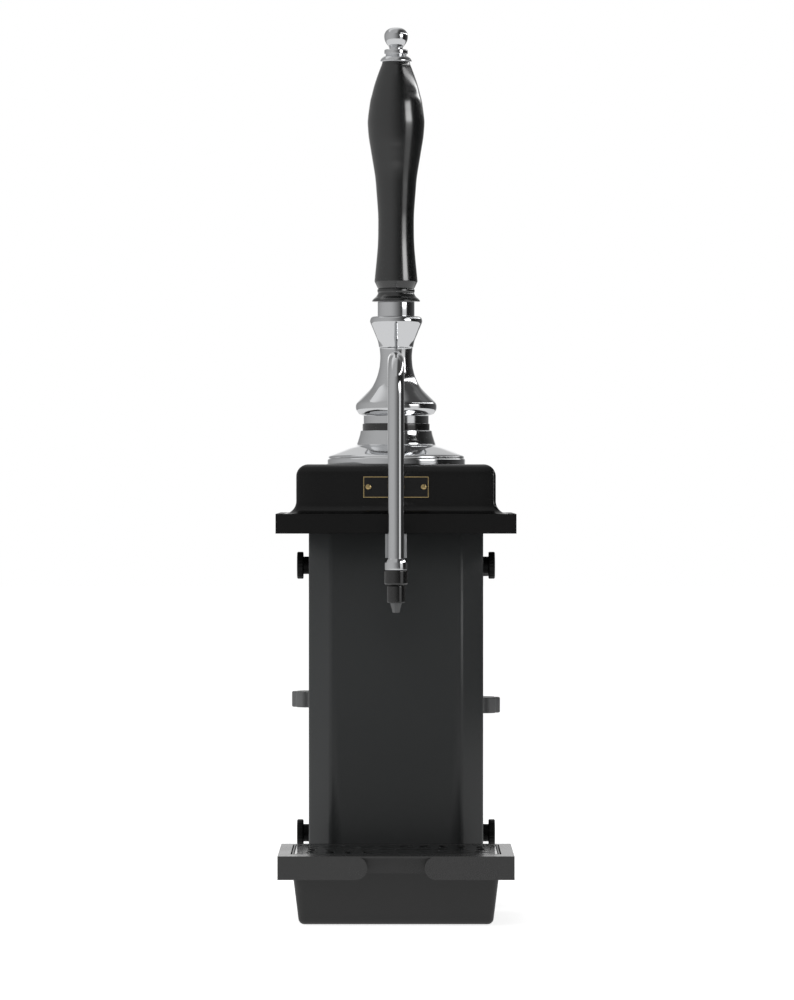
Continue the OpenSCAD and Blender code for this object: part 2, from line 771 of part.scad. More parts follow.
// The handle's foot: a flared cup whose underside is a ball face that rocks in the pillar's rim
module handle_cup() {
  edge = 15.5;
  ball = [for (k = [0 : 6]) let(a = -90 + k * (90 - asin(edge / ball_r)) / 6)
          [ball_r * cos(a), ball_r * sin(a)]];
  flare = smooth([[ball[6][0], -edge], [cup_r - 4.1, -10], [cup_r - 2.1, -5], [cup_r + 0.1, 0.3],
                  [lip_r, 7]], 3);
  color([0.76, 0.77, 0.78])
    translate([0, 0, pivot_z])
      difference() {
        turned(concat([[0, -ball_r]], [for (k = [1 : 5]) ball[k]], flare,
                      [[lip_r + 0.1, 8.2], [lip_r, 9.6], [lip_r - 0.3, 11], [lip_r - 0.8, 12.2],
                       [lip_r - 1.6, cup_h], [0, cup_h]]));
        plate_yz(-pocket_x, pocket_x) {
          intersection() {
            circle(r = pocket_r);
            translate([-30, -30]) square([60, 30 + pocket_top]);
          }
          polygon([[0, 0], [pull_rod_y + 3.5, 0], [pull_rod_y + 3.5, -30], [-19.2, -23]]);
        }
        translate([0, crank_y, crank_z - pivot_z]) {
          rod_x(eye_r + 1.8, 6.4);
          rod_x(crank_pin_r, crank_pin_l);
        }
        rod_x(pivot_r + fit, 60);
        cylinder(r = stud_r, h = 40);
      }
}

module crank_pin() {
  color([0.66, 0.67, 0.68])
    translate([0, crank_y, crank_z]) rod_x(crank_pin_r, crank_pin_l);
}

module handle_rod() {
  color([0.76, 0.77, 0.78])
    translate([0, 0, cup_top_z])
      turned([[stud_r, 0], [rod_r, 0], [rod_r, rod_h], [stud_r, rod_h]]);
}

module grip_collar() {
  h = grip_collar_h;
  r = grip_collar_r;
  cove = smooth([[r, 1.3], [r - 1.4, 3], [r - 3.8, 5.2], [r - 5, 7.4], [r - 5.5, 8.5]], 3);
  color([0.08, 0.08, 0.08])
    translate([0, 0, grip_collar_z])
      turned(concat([[stud_r, 0], [r - 0.6, 0], [r, 0.7]], cove,
                    [[r - 5.1, 9.2], [r - 4.8, 10.2], [r - 5, h - 1], [r - 5.5, h],
                     [stud_r, h]]));
}

// A steel stud from the cup up through the grip, which holds the handle together
module handle_stud() {
  low = pivot_z + pocket_top + 0.5;
  color([0.6, 0.61, 0.62])
    translate([0, 0, low]) cylinder(r = stud_r, h = finial_z + 5 - low);
}

// The grip's outline, from its waist (0) to its belly (1), against its height
grip_line = [[0.27, 0.071], [0.15, 0.126], [0.05, 0.18], [0, 0.237], [0, 0.318], [0.07, 0.373],
  [0.16, 0.427], [0.28, 0.491], [0.54, 0.566], [0.72, 0.616], [0.9, 0.668], [1, 0.725],
  [0.97, 0.755], [0.88, 0.788], [0.75, 0.828], [0.58, 0.858], [0.38, 0.894], [0.12, 0.931],
  [-0.19, 0.97], [-0.33, 0.986], [-0.41, 1]];

module handle_grip() {
  span = grip_belly_r - grip_waist_r;
  side = [for (p = grip_line) [grip_waist_r + span * p[0], grip_h * p[1]]];
  color([0.05, 0.055, 0.055])
    translate([0, 0, grip_z])
      turned(concat([[stud_r, 0], [grip_waist_r + 0.3, 0], [grip_waist_r + 3.1, 5.9],
                     [grip_waist_r + 3.4, 6.8]], smooth(side), [[stud_r, grip_h]]));
}

module ferrule() {
  r = ferrule_r;
  color([0.78, 0.79, 0.8])
    translate([0, 0, ferrule_z])
      turned(concat([[stud_r, 0], [r - 0.5, 0], [r, 0.7]],
                    smooth([[r, 1.2], [r - 0.9, 2.9], [r - 2.6, 4.5], [r - 4.7, 5.6]], 3),
                    [[r - 5.1, 6.4], [r - 4.7, 7], [r - 3.8, 7.4], [r - 3.7, 8],
                     [r - 3.7, ferrule_h - 0.8], [r - 4.4, ferrule_h], [stud_r, ferrule_h]]));
}

module finial() {
  r = finial_r;
  h = finial_h;
  color([0.8, 0.81, 0.82])
    translate([0, 0, finial_z])
      turned(concat([[0, 5], [stud_r, 5], [stud_r, 0], [6.3, 0]],
                    smooth([[6.2, 0.6], [6.6, 2.2], [r - 2.3, 5], [r - 0.5, 8.6], [r, 12.6],
                            [r - 0.6, 15.4], [r - 2.6, 18.2], [r - 6, h - 0.5], [0, h]], 4)));
}

// --- Linkage ------------------------------------------------------------------------------------

// The rod inside the pillar: an offset plate with a slot for the crank pin at its top, and a
// fork with slots for the rocker's short pin at its foot
module pull_rod() {
  top_slot_y = (crank_y + crank_r) / 2;
  top_shift = crank_r - crank_y;
  fork_z = short_pin[1] + fork_reach;
  color([0.66, 0.67, 0.68])
    difference() {
      union() {
        translate([0, pull_rod_y, fork_z]) cylinder(r = pull_rod_r, h = pivot_z - 18 - fork_z);
        translate([0, 0, pivot_z])
          plate_yz(-2.5, 2.5) {
            polygon([[lean + 0.1, -22.9], [8.2, -22.9], [8.2, -15], [14.7, -8.7], [15.2, -4.9],
                     [8.6, -1.6], [4.6, -9], [4.6, -15], [lean + 0.1, -18]]);
            translate([top_slot_y, crank_z - pivot_z]) slot_shape(eye_r, top_shift);
          }
        for (s = [-1, 1])
          translate([0, pull_rod_y, short_pin[1]])
            plate_yz(s > 0 ? fork_x : -fork_x - fork_wall, s > 0 ? fork_x + fork_wall : -fork_x)
              translate([-5.9, -5]) square([11.8, 5 + fork_reach + fork_bridge]);
        box_at(-fork_x - fork_wall, fork_x + fork_wall, pull_rod_y - 5.9, pull_rod_y + 5.9,
               fork_z, fork_z + fork_bridge);
      }
      translate([0, top_slot_y, crank_z]) plate_yz(-5, 5) pin_slot(crank_pin_r, top_shift);
      translate([0, pull_rod_y, short_pin[1]]) plate_yz(-20, 20) pin_slot(pin_r, short_shift);
    }
}

// The beam in the casing that turns the pull rod's short stroke into the piston's long one
module rocker_beam() {
  pin_l = 2 * (fork_x + fork_wall);
  color([0.5, 0.51, 0.53])
    difference() {
      translate([0, fulcrum_y, fulcrum_z]) rotate([rocker_deg, 0, 0]) {
        plate_yz(-beam_t / 2, beam_t / 2) {
          translate([-rocker_long, -beam_r]) square([rocker_long, 2 * beam_r]);
          circle(r = beam_r);
          translate([-rocker_long, 0]) circle(r = beam_r);
        }
        translate([0, -rocker_short, 0]) rod_x(pin_r, pin_l);
        translate([0, -rocker_long, 0]) rod_x(pin_r, pin_l);
      }
      translate([0, fulcrum_y, fulcrum_z]) rod_x(pin_r + fit, 40);
    }
}

module rocker_bracket() {
  x0 = fork_x + fork_wall + 0.6;
  x1 = x0 + 3;
  y0 = fulcrum_y - 7;
  color([0.45, 0.46, 0.48]) {
    difference() {
      union() {
        for (s = [-1, 1])
          plate_yz(s > 0 ? x0 : -x1, s > 0 ? x1 : -x0) {
            translate([y0, cowl_z]) square([14, fulcrum_rise]);
            translate([fulcrum_y, fulcrum_z]) circle(r = 7);
          }
        box_at(-x1, x1, y0, y0 + 26, cowl_z, cowl_z + 3);
      }
      translate([0, fulcrum_y, fulcrum_z]) rod_x(pin_r, 40);
    }
    translate([0, fulcrum_y, fulcrum_z]) rod_x(pin_r, 2 * x1 + 2);
  }
}

// --- Cylinder -----------------------------------------------------------------------------------

module tie_places() {
  for (x = [-tie_at, tie_at], y = [-tie_at, tie_at]) translate([x, cylinder_y + y, 0]) children();
}

// A square cap with round corners, holes for the tie rods and a seat for the tube
module cylinder_cap(z) {
  translate([0, 0, z]) linear_extrude(cap_t)
    difference() {
      translate([0, cylinder_y]) square(2 * cap_half, center = true);
      tie_places() circle(r = tie_r + fit);
    }
}

module cylinder_tube() {
  color([0.7, 0.71, 0.73])
    translate([0, cylinder_y, bore_z - tube_seat])
      difference() {
        cylinder(r = bore_r + bore_wall, h = bore_h + 2 * tube_seat);
        translate([0, 0, -1]) cylinder(r = bore_r, h = bore_h + 2 * tube_seat + 2);
      }
}

module cylinder_top_cap() {
  color([0.42, 0.43, 0.45])
    difference() {
      cylinder_cap(top_cap_z);
      translate([0, cylinder_y, top_cap_z - 1]) difference() {
        cylinder(r = bore_r + bore_wall, h = tube_seat + 1);
        cylinder(r = bore_r, h = tube_seat + 1);
      }
      translate([0, cylinder_y, top_cap_z - 1]) cylinder(r = piston_rod_r + fit, h = cap_t + 2);
      translate([delivery_x, cylinder_y, top_cap_z - 1])
        cylinder(r = pipe_r - pipe_t, h = cap_t + 2);
    }
}

module cylinder_bottom_cap() {
  chamber = cylinder_z + cap_t - 8;
  color([0.42, 0.43, 0.45]) {
    difference() {
      cylinder_cap(cylinder_z);
      translate([0, cylinder_y, bore_z - tube_seat]) difference() {
        cylinder(r = bore_r + bore_wall, h = tube_seat + 1);
        cylinder(r = bore_r, h = tube_seat + 1);
      }
      translate([0, cylinder_y, chamber]) cylinder(r = 17, h = 20);
      translate([0, cylinder_y, cylinder_z - 1]) cylinder(r = port_r, h = cap_t);
    }
    difference() {
      box_at(-port_r - 0.5, port_r + 0.5, cylinder_y - 1.5, cylinder_y + 1.5, cylinder_z,
             cylinder_z + 2);
      translate([0, cylinder_y, cylinder_z - 1]) cylinder(r = 2.3, h = 4);
    }
  }
}

// Rods that hang the cylinder from the top plate, with nuts under and over the caps
module tie_rods() {
  low = cylinder_z - 9;
  color([0.6, 0.61, 0.62])
    tie_places() {
      translate([0, 0, low]) cylinder(r = tie_r, h = board_z - low);
      for (z = [cylinder_z - 5, top_cap_z + cap_t, board_z - top_plate_t - 5])
        translate([0, 0, z]) cylinder(r = tie_r + 2.6, h = 5, $fn = 6);
    }
}

gland_r = 11;
gland_collar_t = 4;
gland_hex_r = 12;
gland_hex_h = 7;

module gland_nut() {
  color([0.72, 0.56, 0.3])
    translate([0, cylinder_y, top_cap_z + cap_t])
      difference() {
        union() {
          cylinder(r = gland_r, h = gland_collar_t);
          translate([0, 0, gland_collar_t]) cylinder(r = gland_hex_r, h = gland_hex_h, $fn = 6);
        }
        translate([0, 0, -1])
          cylinder(r = piston_rod_r + fit, h = gland_collar_t + gland_hex_h + 2);
      }
}

piston_port_at = 16;
piston_port_r = 3.5;
groove_d = 4;
groove_h = 5;

module piston() {
  color([0.85, 0.85, 0.82])
    translate([0, cylinder_y, piston_z])
      difference() {
        turned([[piston_rod_r, 0], [bore_r - 0.4, 0], [bore_r - 0.4, (piston_h - groove_h) / 2],
                [bore_r - groove_d, (piston_h - groove_h) / 2],
                [bore_r - groove_d, (piston_h + groove_h) / 2],
                [bore_r - 0.4, (piston_h + groove_h) / 2], [bore_r - 0.4, piston_h],
                [piston_rod_r, piston_h]]);
        for (a = [0 : 60 : 300]) rotate([0, 0, a]) translate([piston_port_at, 0, -1])
          cylinder(r = piston_port_r, h = piston_h + 2);
      }
}

module piston_seal() {
  color([0.08, 0.08, 0.08])
    translate([0, cylinder_y, piston_z + (piston_h - groove_h) / 2])
      turned([[bore_r - groove_d, 0.1], [bore_r - 0.9, 0.1], [bore_r - 0.08, 1],
              [bore_r - 0.08, groove_h - 1], [bore_r - 0.9, groove_h - 0.1],
              [bore_r - groove_d, groove_h - 0.1]]);
}

fork_edge = 3.2;
stop_r = 9;
stop_t = 2.5;

module piston_rod() {
  fork_z = long_pin[1] - fork_reach;
  half_y = long_shift / 2 + pin_r + fork_edge;
  stop_z = piston_z + piston_h + valve_t + valve_lift + 1;
  color([0.72, 0.73, 0.75])
    difference() {
      union() {
        translate([0, cylinder_y, piston_z]) cylinder(r = piston_rod_r, h = fork_z - piston_z);
        translate([0, cylinder_y, stop_z]) cylinder(r = stop_r, h = stop_t);
        box_at(-fork_x - fork_wall, fork_x + fork_wall, cylinder_y - half_y,
               cylinder_y + half_y, fork_z - fork_bridge, fork_z);
        for (s = [-1, 1])
          translate([0, cylinder_y, long_pin[1]])
            plate_yz(s > 0 ? fork_x : -fork_x - fork_wall, s > 0 ? fork_x + fork_wall : -fork_x)
              translate([-half_y, -fork_reach]) square([2 * half_y, fork_reach + 5]);
      }
      translate([0, cylinder_y, long_pin[1]]) plate_yz(-20, 20) pin_slot(pin_r, long_shift);
    }
}

valve_r = 22;
valve_t = 2.5;
valve_lift = 2.5;

// A loose ring over the piston's ports
module piston_valve() {
  color([0.15, 0.15, 0.15])
    translate([0, cylinder_y, piston_z + piston_h])
      turned([[piston_rod_r + clear, 0], [valve_r, 0], [valve_r, valve_t],
              [piston_rod_r + clear, valve_t]]);
}

// A loose disc with a stem over the inlet port
module foot_valve() {
  color([0.15, 0.15, 0.15])
    translate([0, cylinder_y, cylinder_z + cap_t - 8])
      turned([[0, -5], [1.9, -5], [1.9, 0], [14, 0], [14, 2.5], [0, 2.5]]);
}

// Elbow from the bottom cap to a bulkhead on the back panel, with a plain stem for the beer line
module inlet_fitting() {
  pr = pipe_r + 2;
  bulk_r = inlet_r + 3;
  color([0.7, 0.55, 0.32])
    difference() {
      union() {
        translate([0, cylinder_y, cylinder_z - 5]) cylinder(r = port_r + 6, h = 5);
        translate([0, cylinder_y, inlet_z]) cylinder(r = pr, h = cylinder_z - inlet_z);
        translate([0, cylinder_y, inlet_z]) sphere(r = pr);
        translate([0, cylinder_y, inlet_z]) rotate([-90, 0, 0])
          cylinder(r = pr, h = column_back - cylinder_y);
        translate([0, column_back - frame_t - 4, inlet_z]) rotate([-90, 0, 0])
          cylinder(r = bulk_r + 4, h = 4, $fn = 6);
        translate([0, column_back - frame_t - 4, inlet_z]) rotate([-90, 0, 0])
          cylinder(r = bulk_r, h = frame_t + 4);
        translate([0, column_back, inlet_z]) rotate([-90, 0, 0]) cylinder(r = bulk_r + 3, h = 4);
        translate([0, column_back + 4, inlet_z]) rotate([-90, 0, 0])
          cylinder(r = inlet_r, h = inlet_l);
      }
      translate([0, cylinder_y, inlet_z]) cylinder(r = inlet_r - 1.5, h = cylinder_z);
      translate([0, cylinder_y, inlet_z]) sphere(r = inlet_r - 1.5);
      translate([0, cylinder_y, inlet_z]) rotate([-90, 0, 0])
        cylinder(r = inlet_r - 1.5, h = 200);
    }
}

// --- Drip tray ------------------------------------------------------------------------------------

bolt_r = 3;
bolt_at = 45;
bolt_nut_r = 5.8;
bolt_nut_t = 5;
bolt_head_r = 5;
bolt_head_t = 0.6;

module holder_bolt_places() {
  for (s = [-1, 1]) translate([s * bolt_at, holder_back, holder_low + holder_h / 2]) children();
}

// A frame of bent plate: top flange, outer skirt, and an inner wall with seats for the basin
module tray_holder() {
  inner_x = holder_w / 2 - holder_t;
  gap_half = finger_w / 2;
  gap_r = holder_h / 2;
  wall = 2;
  color([0.22, 0.22, 0.22])
    difference() {
      box_at(-holder_w / 2, holder_w / 2, holder_front, holder_back, holder_low, holder_z);
      // the opening, above and between the seats
      box_at(-opening_half, opening_half, opening_front, opening_back, seat_z, holder_z + 1);
      box_at(-opening_half, opening_half, opening_front + seat_w + basin_gap,
             opening_back - seat_w - basin_gap, holder_low - 1, seat_z + 1);
      // the hollow between the skirt and the inner wall
      box_at(-inner_x, inner_x, holder_front + holder_t, holder_back - holder_t, holder_low - 1,
             seat_z - wall);
      difference() {
        box_at(-inner_x, inner_x, holder_front + holder_t, holder_back - holder_t,
               seat_z - wall - 1, holder_z - holder_t);
        box_at(-opening_half - wall, opening_half + wall, opening_front - wall,
               opening_back + wall, seat_z - wall - 2, holder_z);
      }
      // the finger gap, with the bars beside it round-ended
      difference() {
        box_at(-gap_half - gap_r, gap_half + gap_r, holder_front - 1, holder_front + holder_t + 1,
               holder_low - 1, holder_z - 1.2);
        for (s = [-1, 1])
          translate([s * (gap_half + gap_r), holder_front + holder_t + 2, holder_low + gap_r])
            rotate([90, 0, 0]) cylinder(r = gap_r, h = holder_t + 4);
      }
      holder_bolt_places() translate([0, 1, 0]) rotate([90, 0, 0]) cylinder(r = bolt_r, h = 20);
    }
}

// Two bolts through the holder's back and the cover, with nuts inside the column
module holder_screws() {
  color([0.12, 0.12, 0.12])
    holder_bolt_places() {
      translate([0, cover_t + bolt_nut_t + 3, 0]) rotate([90, 0, 0])
        cylinder(r = bolt_r, h = cover_t + bolt_nut_t + 3 + holder_t);
      translate([0, -holder_t, 0]) rotate([90, 0, 0]) cylinder(r = bolt_head_r, h = bolt_head_t);
      translate([0, cover_t + bolt_nut_t, 0]) rotate([90, 0, 0])
        cylinder(r = bolt_nut_r, h = bolt_nut_t, $fn = 6);
    }
}

// Form of the basin below its rim: half as wide as half_w at height top, and leaning in from
// there to a round bottom edge of radius r
module basin_form(half_w, y0, y1, r, bottom, top) {
  lean_in = basin_lean * (top - bottom) / (seat_z - basin_foot);
  round_r = 10;
  hull() {
    for (x = [-1, 1], y = [y0 + lean_in + r, y1 - lean_in - r])
      translate([x * (half_w - lean_in - r), y, bottom + r]) sphere(r = r, $fn = 28);
    translate([0, 0, top - 1])
      for (x = [-1, 1], y = [y0 + round_r, y1 - round_r])
        translate([x * (half_w - round_r), y, 0]) cylinder(r = round_r, h = 1, $fn = 28);
  }
}

module drip_basin() {
  rim_in = rim_t + ledge_w;
  floor_z = basin_foot + basin_floor_t;
  color([0.18, 0.18, 0.18])
    difference() {
      union() {
        box_at(-basin_half, basin_half, basin_front, basin_back, seat_z, holder_z);
        basin_form(basin_half - 0.2, basin_front + seat_w, basin_back - seat_w, basin_r,
                   basin_foot, seat_z + 1);
      }
      basin_form(basin_half - rim_in, basin_front + seat_w + rim_t, basin_back - seat_w - rim_t,
                 basin_r - 2, floor_z, grille_z + 1);
      box_at(rim_t - basin_half, basin_half - rim_t, basin_front + rim_t, basin_back - rim_t,
             grille_z, holder_z + 1);
    }
}

// A flat plate with leaf-shaped drain openings that flow out from its middle
module drip_grille() {
  gx = basin_half - rim_t - clear;
  gy0 = basin_front + rim_t + clear;
  gy1 = basin_back - rim_t - clear;
  columns = 10;
  rows = 5;
  step_x = 2 * (gx - 6) / columns;
  step_y = (gy1 - gy0 - 10) / rows;
  color([0.12, 0.13, 0.13])
    translate([0, 0, grille_z]) linear_extrude(grille_t)
      difference() {
        translate([-gx, gy0]) square([2 * gx, gy1 - gy0]);
        for (i = [0 : columns - 1], j = [0 : rows - 1]) {
          x = (i - (columns - 1) / 2) * step_x;
          y = (gy0 + gy1) / 2 + (j - (rows - 1) / 2) * step_y;
          translate([x, y]) rotate(90 * x / gx + 24 * (j - 2)) leaf(20, 7);
        }
      }
}

// A leaf outline: the overlap of two circles, with the given length and width
module leaf(length, width) {
  r = (length * length + width * width) / (4 * width);
  intersection() {
    translate([0, r - width / 2]) circle(r = r);
    translate([0, width / 2 - r]) circle(r = r);
  }
}

// --- Bar clamp --------------------------------------------------------------------------------------

module clamp_bracket() {
  half = clamp_x + clamp_r + 2;
  arm_in = clamp_x - clamp_r - 2;
  color([0.16, 0.16, 0.17])
    difference() {
      union() {
        box_at(-half, half, column_back, column_back + 5, arm_z - 6, arm_z + arm_t + 6);
        for (s = [-1, 1]) {
          box_at(s > 0 ? arm_in : -half, s > 0 ? half : -arm_in, column_back, clamp_y, arm_z,
                 arm_z + arm_t);
          translate([s * clamp_x, clamp_y, arm_z]) cylinder(r = clamp_r + 2, h = arm_t);
        }
      }
      for (s = [-1, 1])
        translate([s * clamp_x, clamp_y, arm_z - 1]) cylinder(r = clamp_r + fit, h = arm_t + 2);
    }
}

module clamp_pad(side, knob_z) {
  color([0.1, 0.1, 0.1])
    translate([side * clamp_x, clamp_y, knob_z + clamp_l - pad_t])
      difference() {
        cylinder(r = pad_r, h = pad_t);
        translate([0, 0, -1]) cylinder(r = clamp_r - 1.5 + fit, h = pad_t - 2);
      }
}

module clamp_screw(side, knob_z) {
  top = clamp_l - pad_t - clear;
  color([0.55, 0.56, 0.57])
    translate([side * clamp_x, clamp_y, knob_z]) {
      cylinder(r = clamp_r, h = top);
      cylinder(r = clamp_r - 1.5, h = top + pad_t - 3);
    }
}

// A fluted hand knob at the foot of a clamp screw
module clamp_knob(side, knob_z) {
  flutes = 8;
  color([0.28, 0.29, 0.29])
    translate([side * clamp_x, clamp_y, knob_z - knob_t / 2])
      difference() {
        cylinder(r = knob_r, h = knob_t);
        for (i = [0 : flutes - 1])
          rotate([0, 0, (i + 0.5) * 360 / flutes]) translate([knob_r + 3.5, 0, -1])
            cylinder(r = 6, h = knob_t + 2);
        translate([0, 0, knob_t / 2]) cylinder(r = clamp_r, h = knob_t);
      }
}

module clamp_pad_left() { clamp_pad(-1, knob_left_z); }
module clamp_pad_right() { clamp_pad(1, knob_right_z); }
module clamp_screw_left() { clamp_screw(-1, knob_left_z); }
module clamp_screw_right() { clamp_screw(1, knob_right_z); }
module clamp_knob_left() { clamp_knob(-1, knob_left_z); }
module clamp_knob_right() { clamp_knob(1, knob_right_z); }

foot_pad();
base_plate();
back_frame();
column_cover();
thumb_screw_left_upper();
thumb_screw_left_lower();
thumb_screw_right_upper();
thumb_screw_right_lower();
top_plate();
board();
cowl();
name_plate();
plate_rivets();
pillar_base();
pillar_ring();
pillar_body();
pillar_studs();
swan_neck();
spout_collar();
steady_bracket();
sparkler_nut();
sparkler_sleeve();
sparkler_tip();
delivery_pipe();
pivot_fork();
pivot_pin();
handle_cup();
crank_pin();
handle_rod();
grip_collar();
handle_stud();
handle_grip();
ferrule();
finial();
pull_rod();
rocker_beam();
rocker_bracket();
cylinder_tube();
cylinder_top_cap();
cylinder_bottom_cap();
tie_rods();
gland_nut();
piston();
piston_seal();
piston_rod();
piston_valve();
foot_valve();
inlet_fitting();
tray_holder();
holder_screws();
drip_basin();
drip_grille();
clamp_bracket();
clamp_pad_left();
clamp_pad_right();
clamp_screw_left();
clamp_screw_right();
clamp_knob_left();
clamp_knob_right();
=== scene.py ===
"""Looks of a clamp-on hand pump beer engine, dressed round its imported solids.

The pieces are surfaces worked out with numpy: profiles turned about an axis, outlines lofted
through levels, and a wall carried along a bent path. Each carries a procedural finish. Lengths
are metres, Z is up and the front faces -Y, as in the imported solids.
"""

import json
import math

import bmesh
import bpy
import numpy as np
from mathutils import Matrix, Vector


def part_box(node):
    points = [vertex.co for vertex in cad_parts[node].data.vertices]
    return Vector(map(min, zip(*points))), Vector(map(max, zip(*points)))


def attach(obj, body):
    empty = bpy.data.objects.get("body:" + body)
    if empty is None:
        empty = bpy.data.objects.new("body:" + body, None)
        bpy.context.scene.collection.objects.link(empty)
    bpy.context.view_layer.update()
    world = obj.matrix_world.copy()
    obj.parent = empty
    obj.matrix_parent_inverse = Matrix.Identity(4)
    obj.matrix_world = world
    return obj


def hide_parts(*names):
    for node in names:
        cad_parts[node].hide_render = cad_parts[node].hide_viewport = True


bl_info = {
    "name": "Hand pump beer engine",
    "version": (1, 0, 0),
    "blender": (4, 5, 0),
    "location": "3D View > Sidebar > Hand pump",
    "description": "Dresses the solids of a hand pump with turned, lofted and swept pieces",
    "category": "Object",
}

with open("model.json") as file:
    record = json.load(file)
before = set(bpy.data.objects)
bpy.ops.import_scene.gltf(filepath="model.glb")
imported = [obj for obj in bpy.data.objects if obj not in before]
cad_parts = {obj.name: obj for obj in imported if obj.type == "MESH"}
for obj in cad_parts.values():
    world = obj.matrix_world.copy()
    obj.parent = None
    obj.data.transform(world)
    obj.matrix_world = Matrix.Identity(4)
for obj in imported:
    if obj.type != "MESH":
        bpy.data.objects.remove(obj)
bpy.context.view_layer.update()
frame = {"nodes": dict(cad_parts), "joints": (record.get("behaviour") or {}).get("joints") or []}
NODES = frame["nodes"]
JOINTS = {j["name"]: j for j in frame["joints"]}
PIVOT_Z = JOINTS["handle_pull"]["pos_m"][2]
MM = 0.001
SPOUT_Y = -0.14  # axis of the swan neck's upright run
THUMB_Y = -0.01  # axes of the thumb screws
THUMB_Z = {"upper": 0.3187, "lower": 0.0703}
FRONT_Y = -0.0755  # face of the casing that carries the name plate


def low(node):
    """Height of a node's lowest point."""
    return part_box(node)[0].z


def high(node):
    """Height of a node's highest point."""
    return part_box(node)[1].z


# --- Lines and outlines ---


def smooth_line(points, steps=6):
    """A Catmull-Rom line through the points: between B and C, at t from 0 to 1, the point is
    half of 2B + (C-A)t + (2A-5B+4C-D)t^2 + (3B-A-3C+D)t^3."""
    p = np.asarray(points, float)
    ends = np.vstack([p[:1], p, p[-1:]])
    a, b, c, d = (ends[i : len(ends) - 3 + i][:, None, :] for i in range(4))
    t = np.linspace(0, 1, steps, endpoint=False)[None, :, None]
    line = 0.5 * (2 * b + (c - a) * t + (2 * a - 5 * b + 4 * c - d) * t**2
                  + (3 * b - a - 3 * c + d) * t**3)
    return np.vstack([line.reshape(-1, p.shape[1]), p[-1:]])


def eased(line, radius, steps=5, closed=True, least=20.0):
    """Rounds the corners of a flat line that turn by more than least degrees. Each corner P
    becomes the parabola (1-t)^2 A + 2t(1-t) P + t^2 C, where A and C lie on the two sides at the
    radius from P, or at 45% of the shorter side."""
    p = np.asarray(line, float)
    back, ahead = np.roll(p, 1, 0) - p, np.roll(p, -1, 0) - p
    back_l = np.maximum(np.linalg.norm(back, axis=1, keepdims=True), 1e-12)
    ahead_l = np.maximum(np.linalg.norm(ahead, axis=1, keepdims=True), 1e-12)
    back, ahead = back / back_l, ahead / ahead_l
    sharp = (back * ahead).sum(1) > -math.cos(math.radians(least))
    if not closed:
        sharp[[0, -1]] = False
    cut = np.minimum(np.asarray(radius, float).reshape(-1, 1), 0.45 * np.minimum(back_l, ahead_l))
    t = np.linspace(0, 1, steps)[None, :, None]
    a, c = (p + back * cut)[:, None], (p + ahead * cut)[:, None]
    bend = (1 - t) ** 2 * a + 2 * t * (1 - t) * p[:, None] + t**2 * c
    bend[~sharp] = p[~sharp][:, None]
    q = bend.reshape(-1, 2)
    keep = np.linalg.norm(q - np.roll(q, 1, 0), axis=1) > 1e-7
    keep[0] = True
    return q[keep]


def rounded_rectangle(half_x, half_y, radius, corner=6, edge=8):
    """Points round a rectangle with round corners, from the +X side and counterclockwise: each
    quarter is an arc about the corner's centre, then a straight run to the next arc."""
    turn = np.linspace(0, np.pi / 2, corner)
    arc = np.stack([np.cos(turn), np.sin(turn)], 1) * radius
    quarter = np.arange(4) * np.pi / 2
    c, s = np.cos(quarter), np.sin(quarter)
    spin = np.stack([np.stack([c, -s], 1), np.stack([s, c], 1)], 1)
    centres = np.array([[1, 1], [-1, 1], [-1, -1], [1, -1]]) * [half_x - radius, half_y - radius]
    arcs = np.einsum("qij,nj->qni", spin, arc) + centres[:, None]
    last, first = arcs[:, -1:], np.roll(arcs[:, :1], -1, 0)
    t = np.linspace(0, 1, edge, endpoint=False)[1:][None, :, None]
    return np.concatenate([arcs, last + (first - last) * t], 1).reshape(-1, 2)


# --- Meshes ---


def grid_faces(rows, columns, close_rows=False, close_columns=True):
    """Quads of a grid of points: face (i, j) joins rows i and i+1 and columns j and j+1."""
    i = np.arange(rows if close_rows else rows - 1)[:, None]
    j = np.arange(columns if close_columns else columns - 1)[None, :]
    i2, j2 = (i + 1) % rows, (j + 1) % columns
    return np.stack(np.broadcast_arrays(i * columns + j, i * columns + j2,
                                        i2 * columns + j2, i2 * columns + j), -1).reshape(-1, 4)


def shade(mesh, sharp=38.0):
    """Smooth shading, with edges over the angle sharp kept crisp."""
    mesh.polygons.foreach_set("use_smooth", np.ones(len(mesh.polygons), bool))
    mesh.set_sharp_from_angle(angle=math.radians(sharp))


def add_mesh(name, points, faces, sharp=38.0):
    """A new object from points and faces, shaded."""
    mesh = bpy.data.meshes.new(name)
    mesh.from_pydata(np.asarray(points).tolist(), [], faces)
    mesh.update()
    shade(mesh, sharp)
    made = bpy.data.objects.new(name, mesh)
    bpy.context.scene.collection.objects.link(made)
    return made


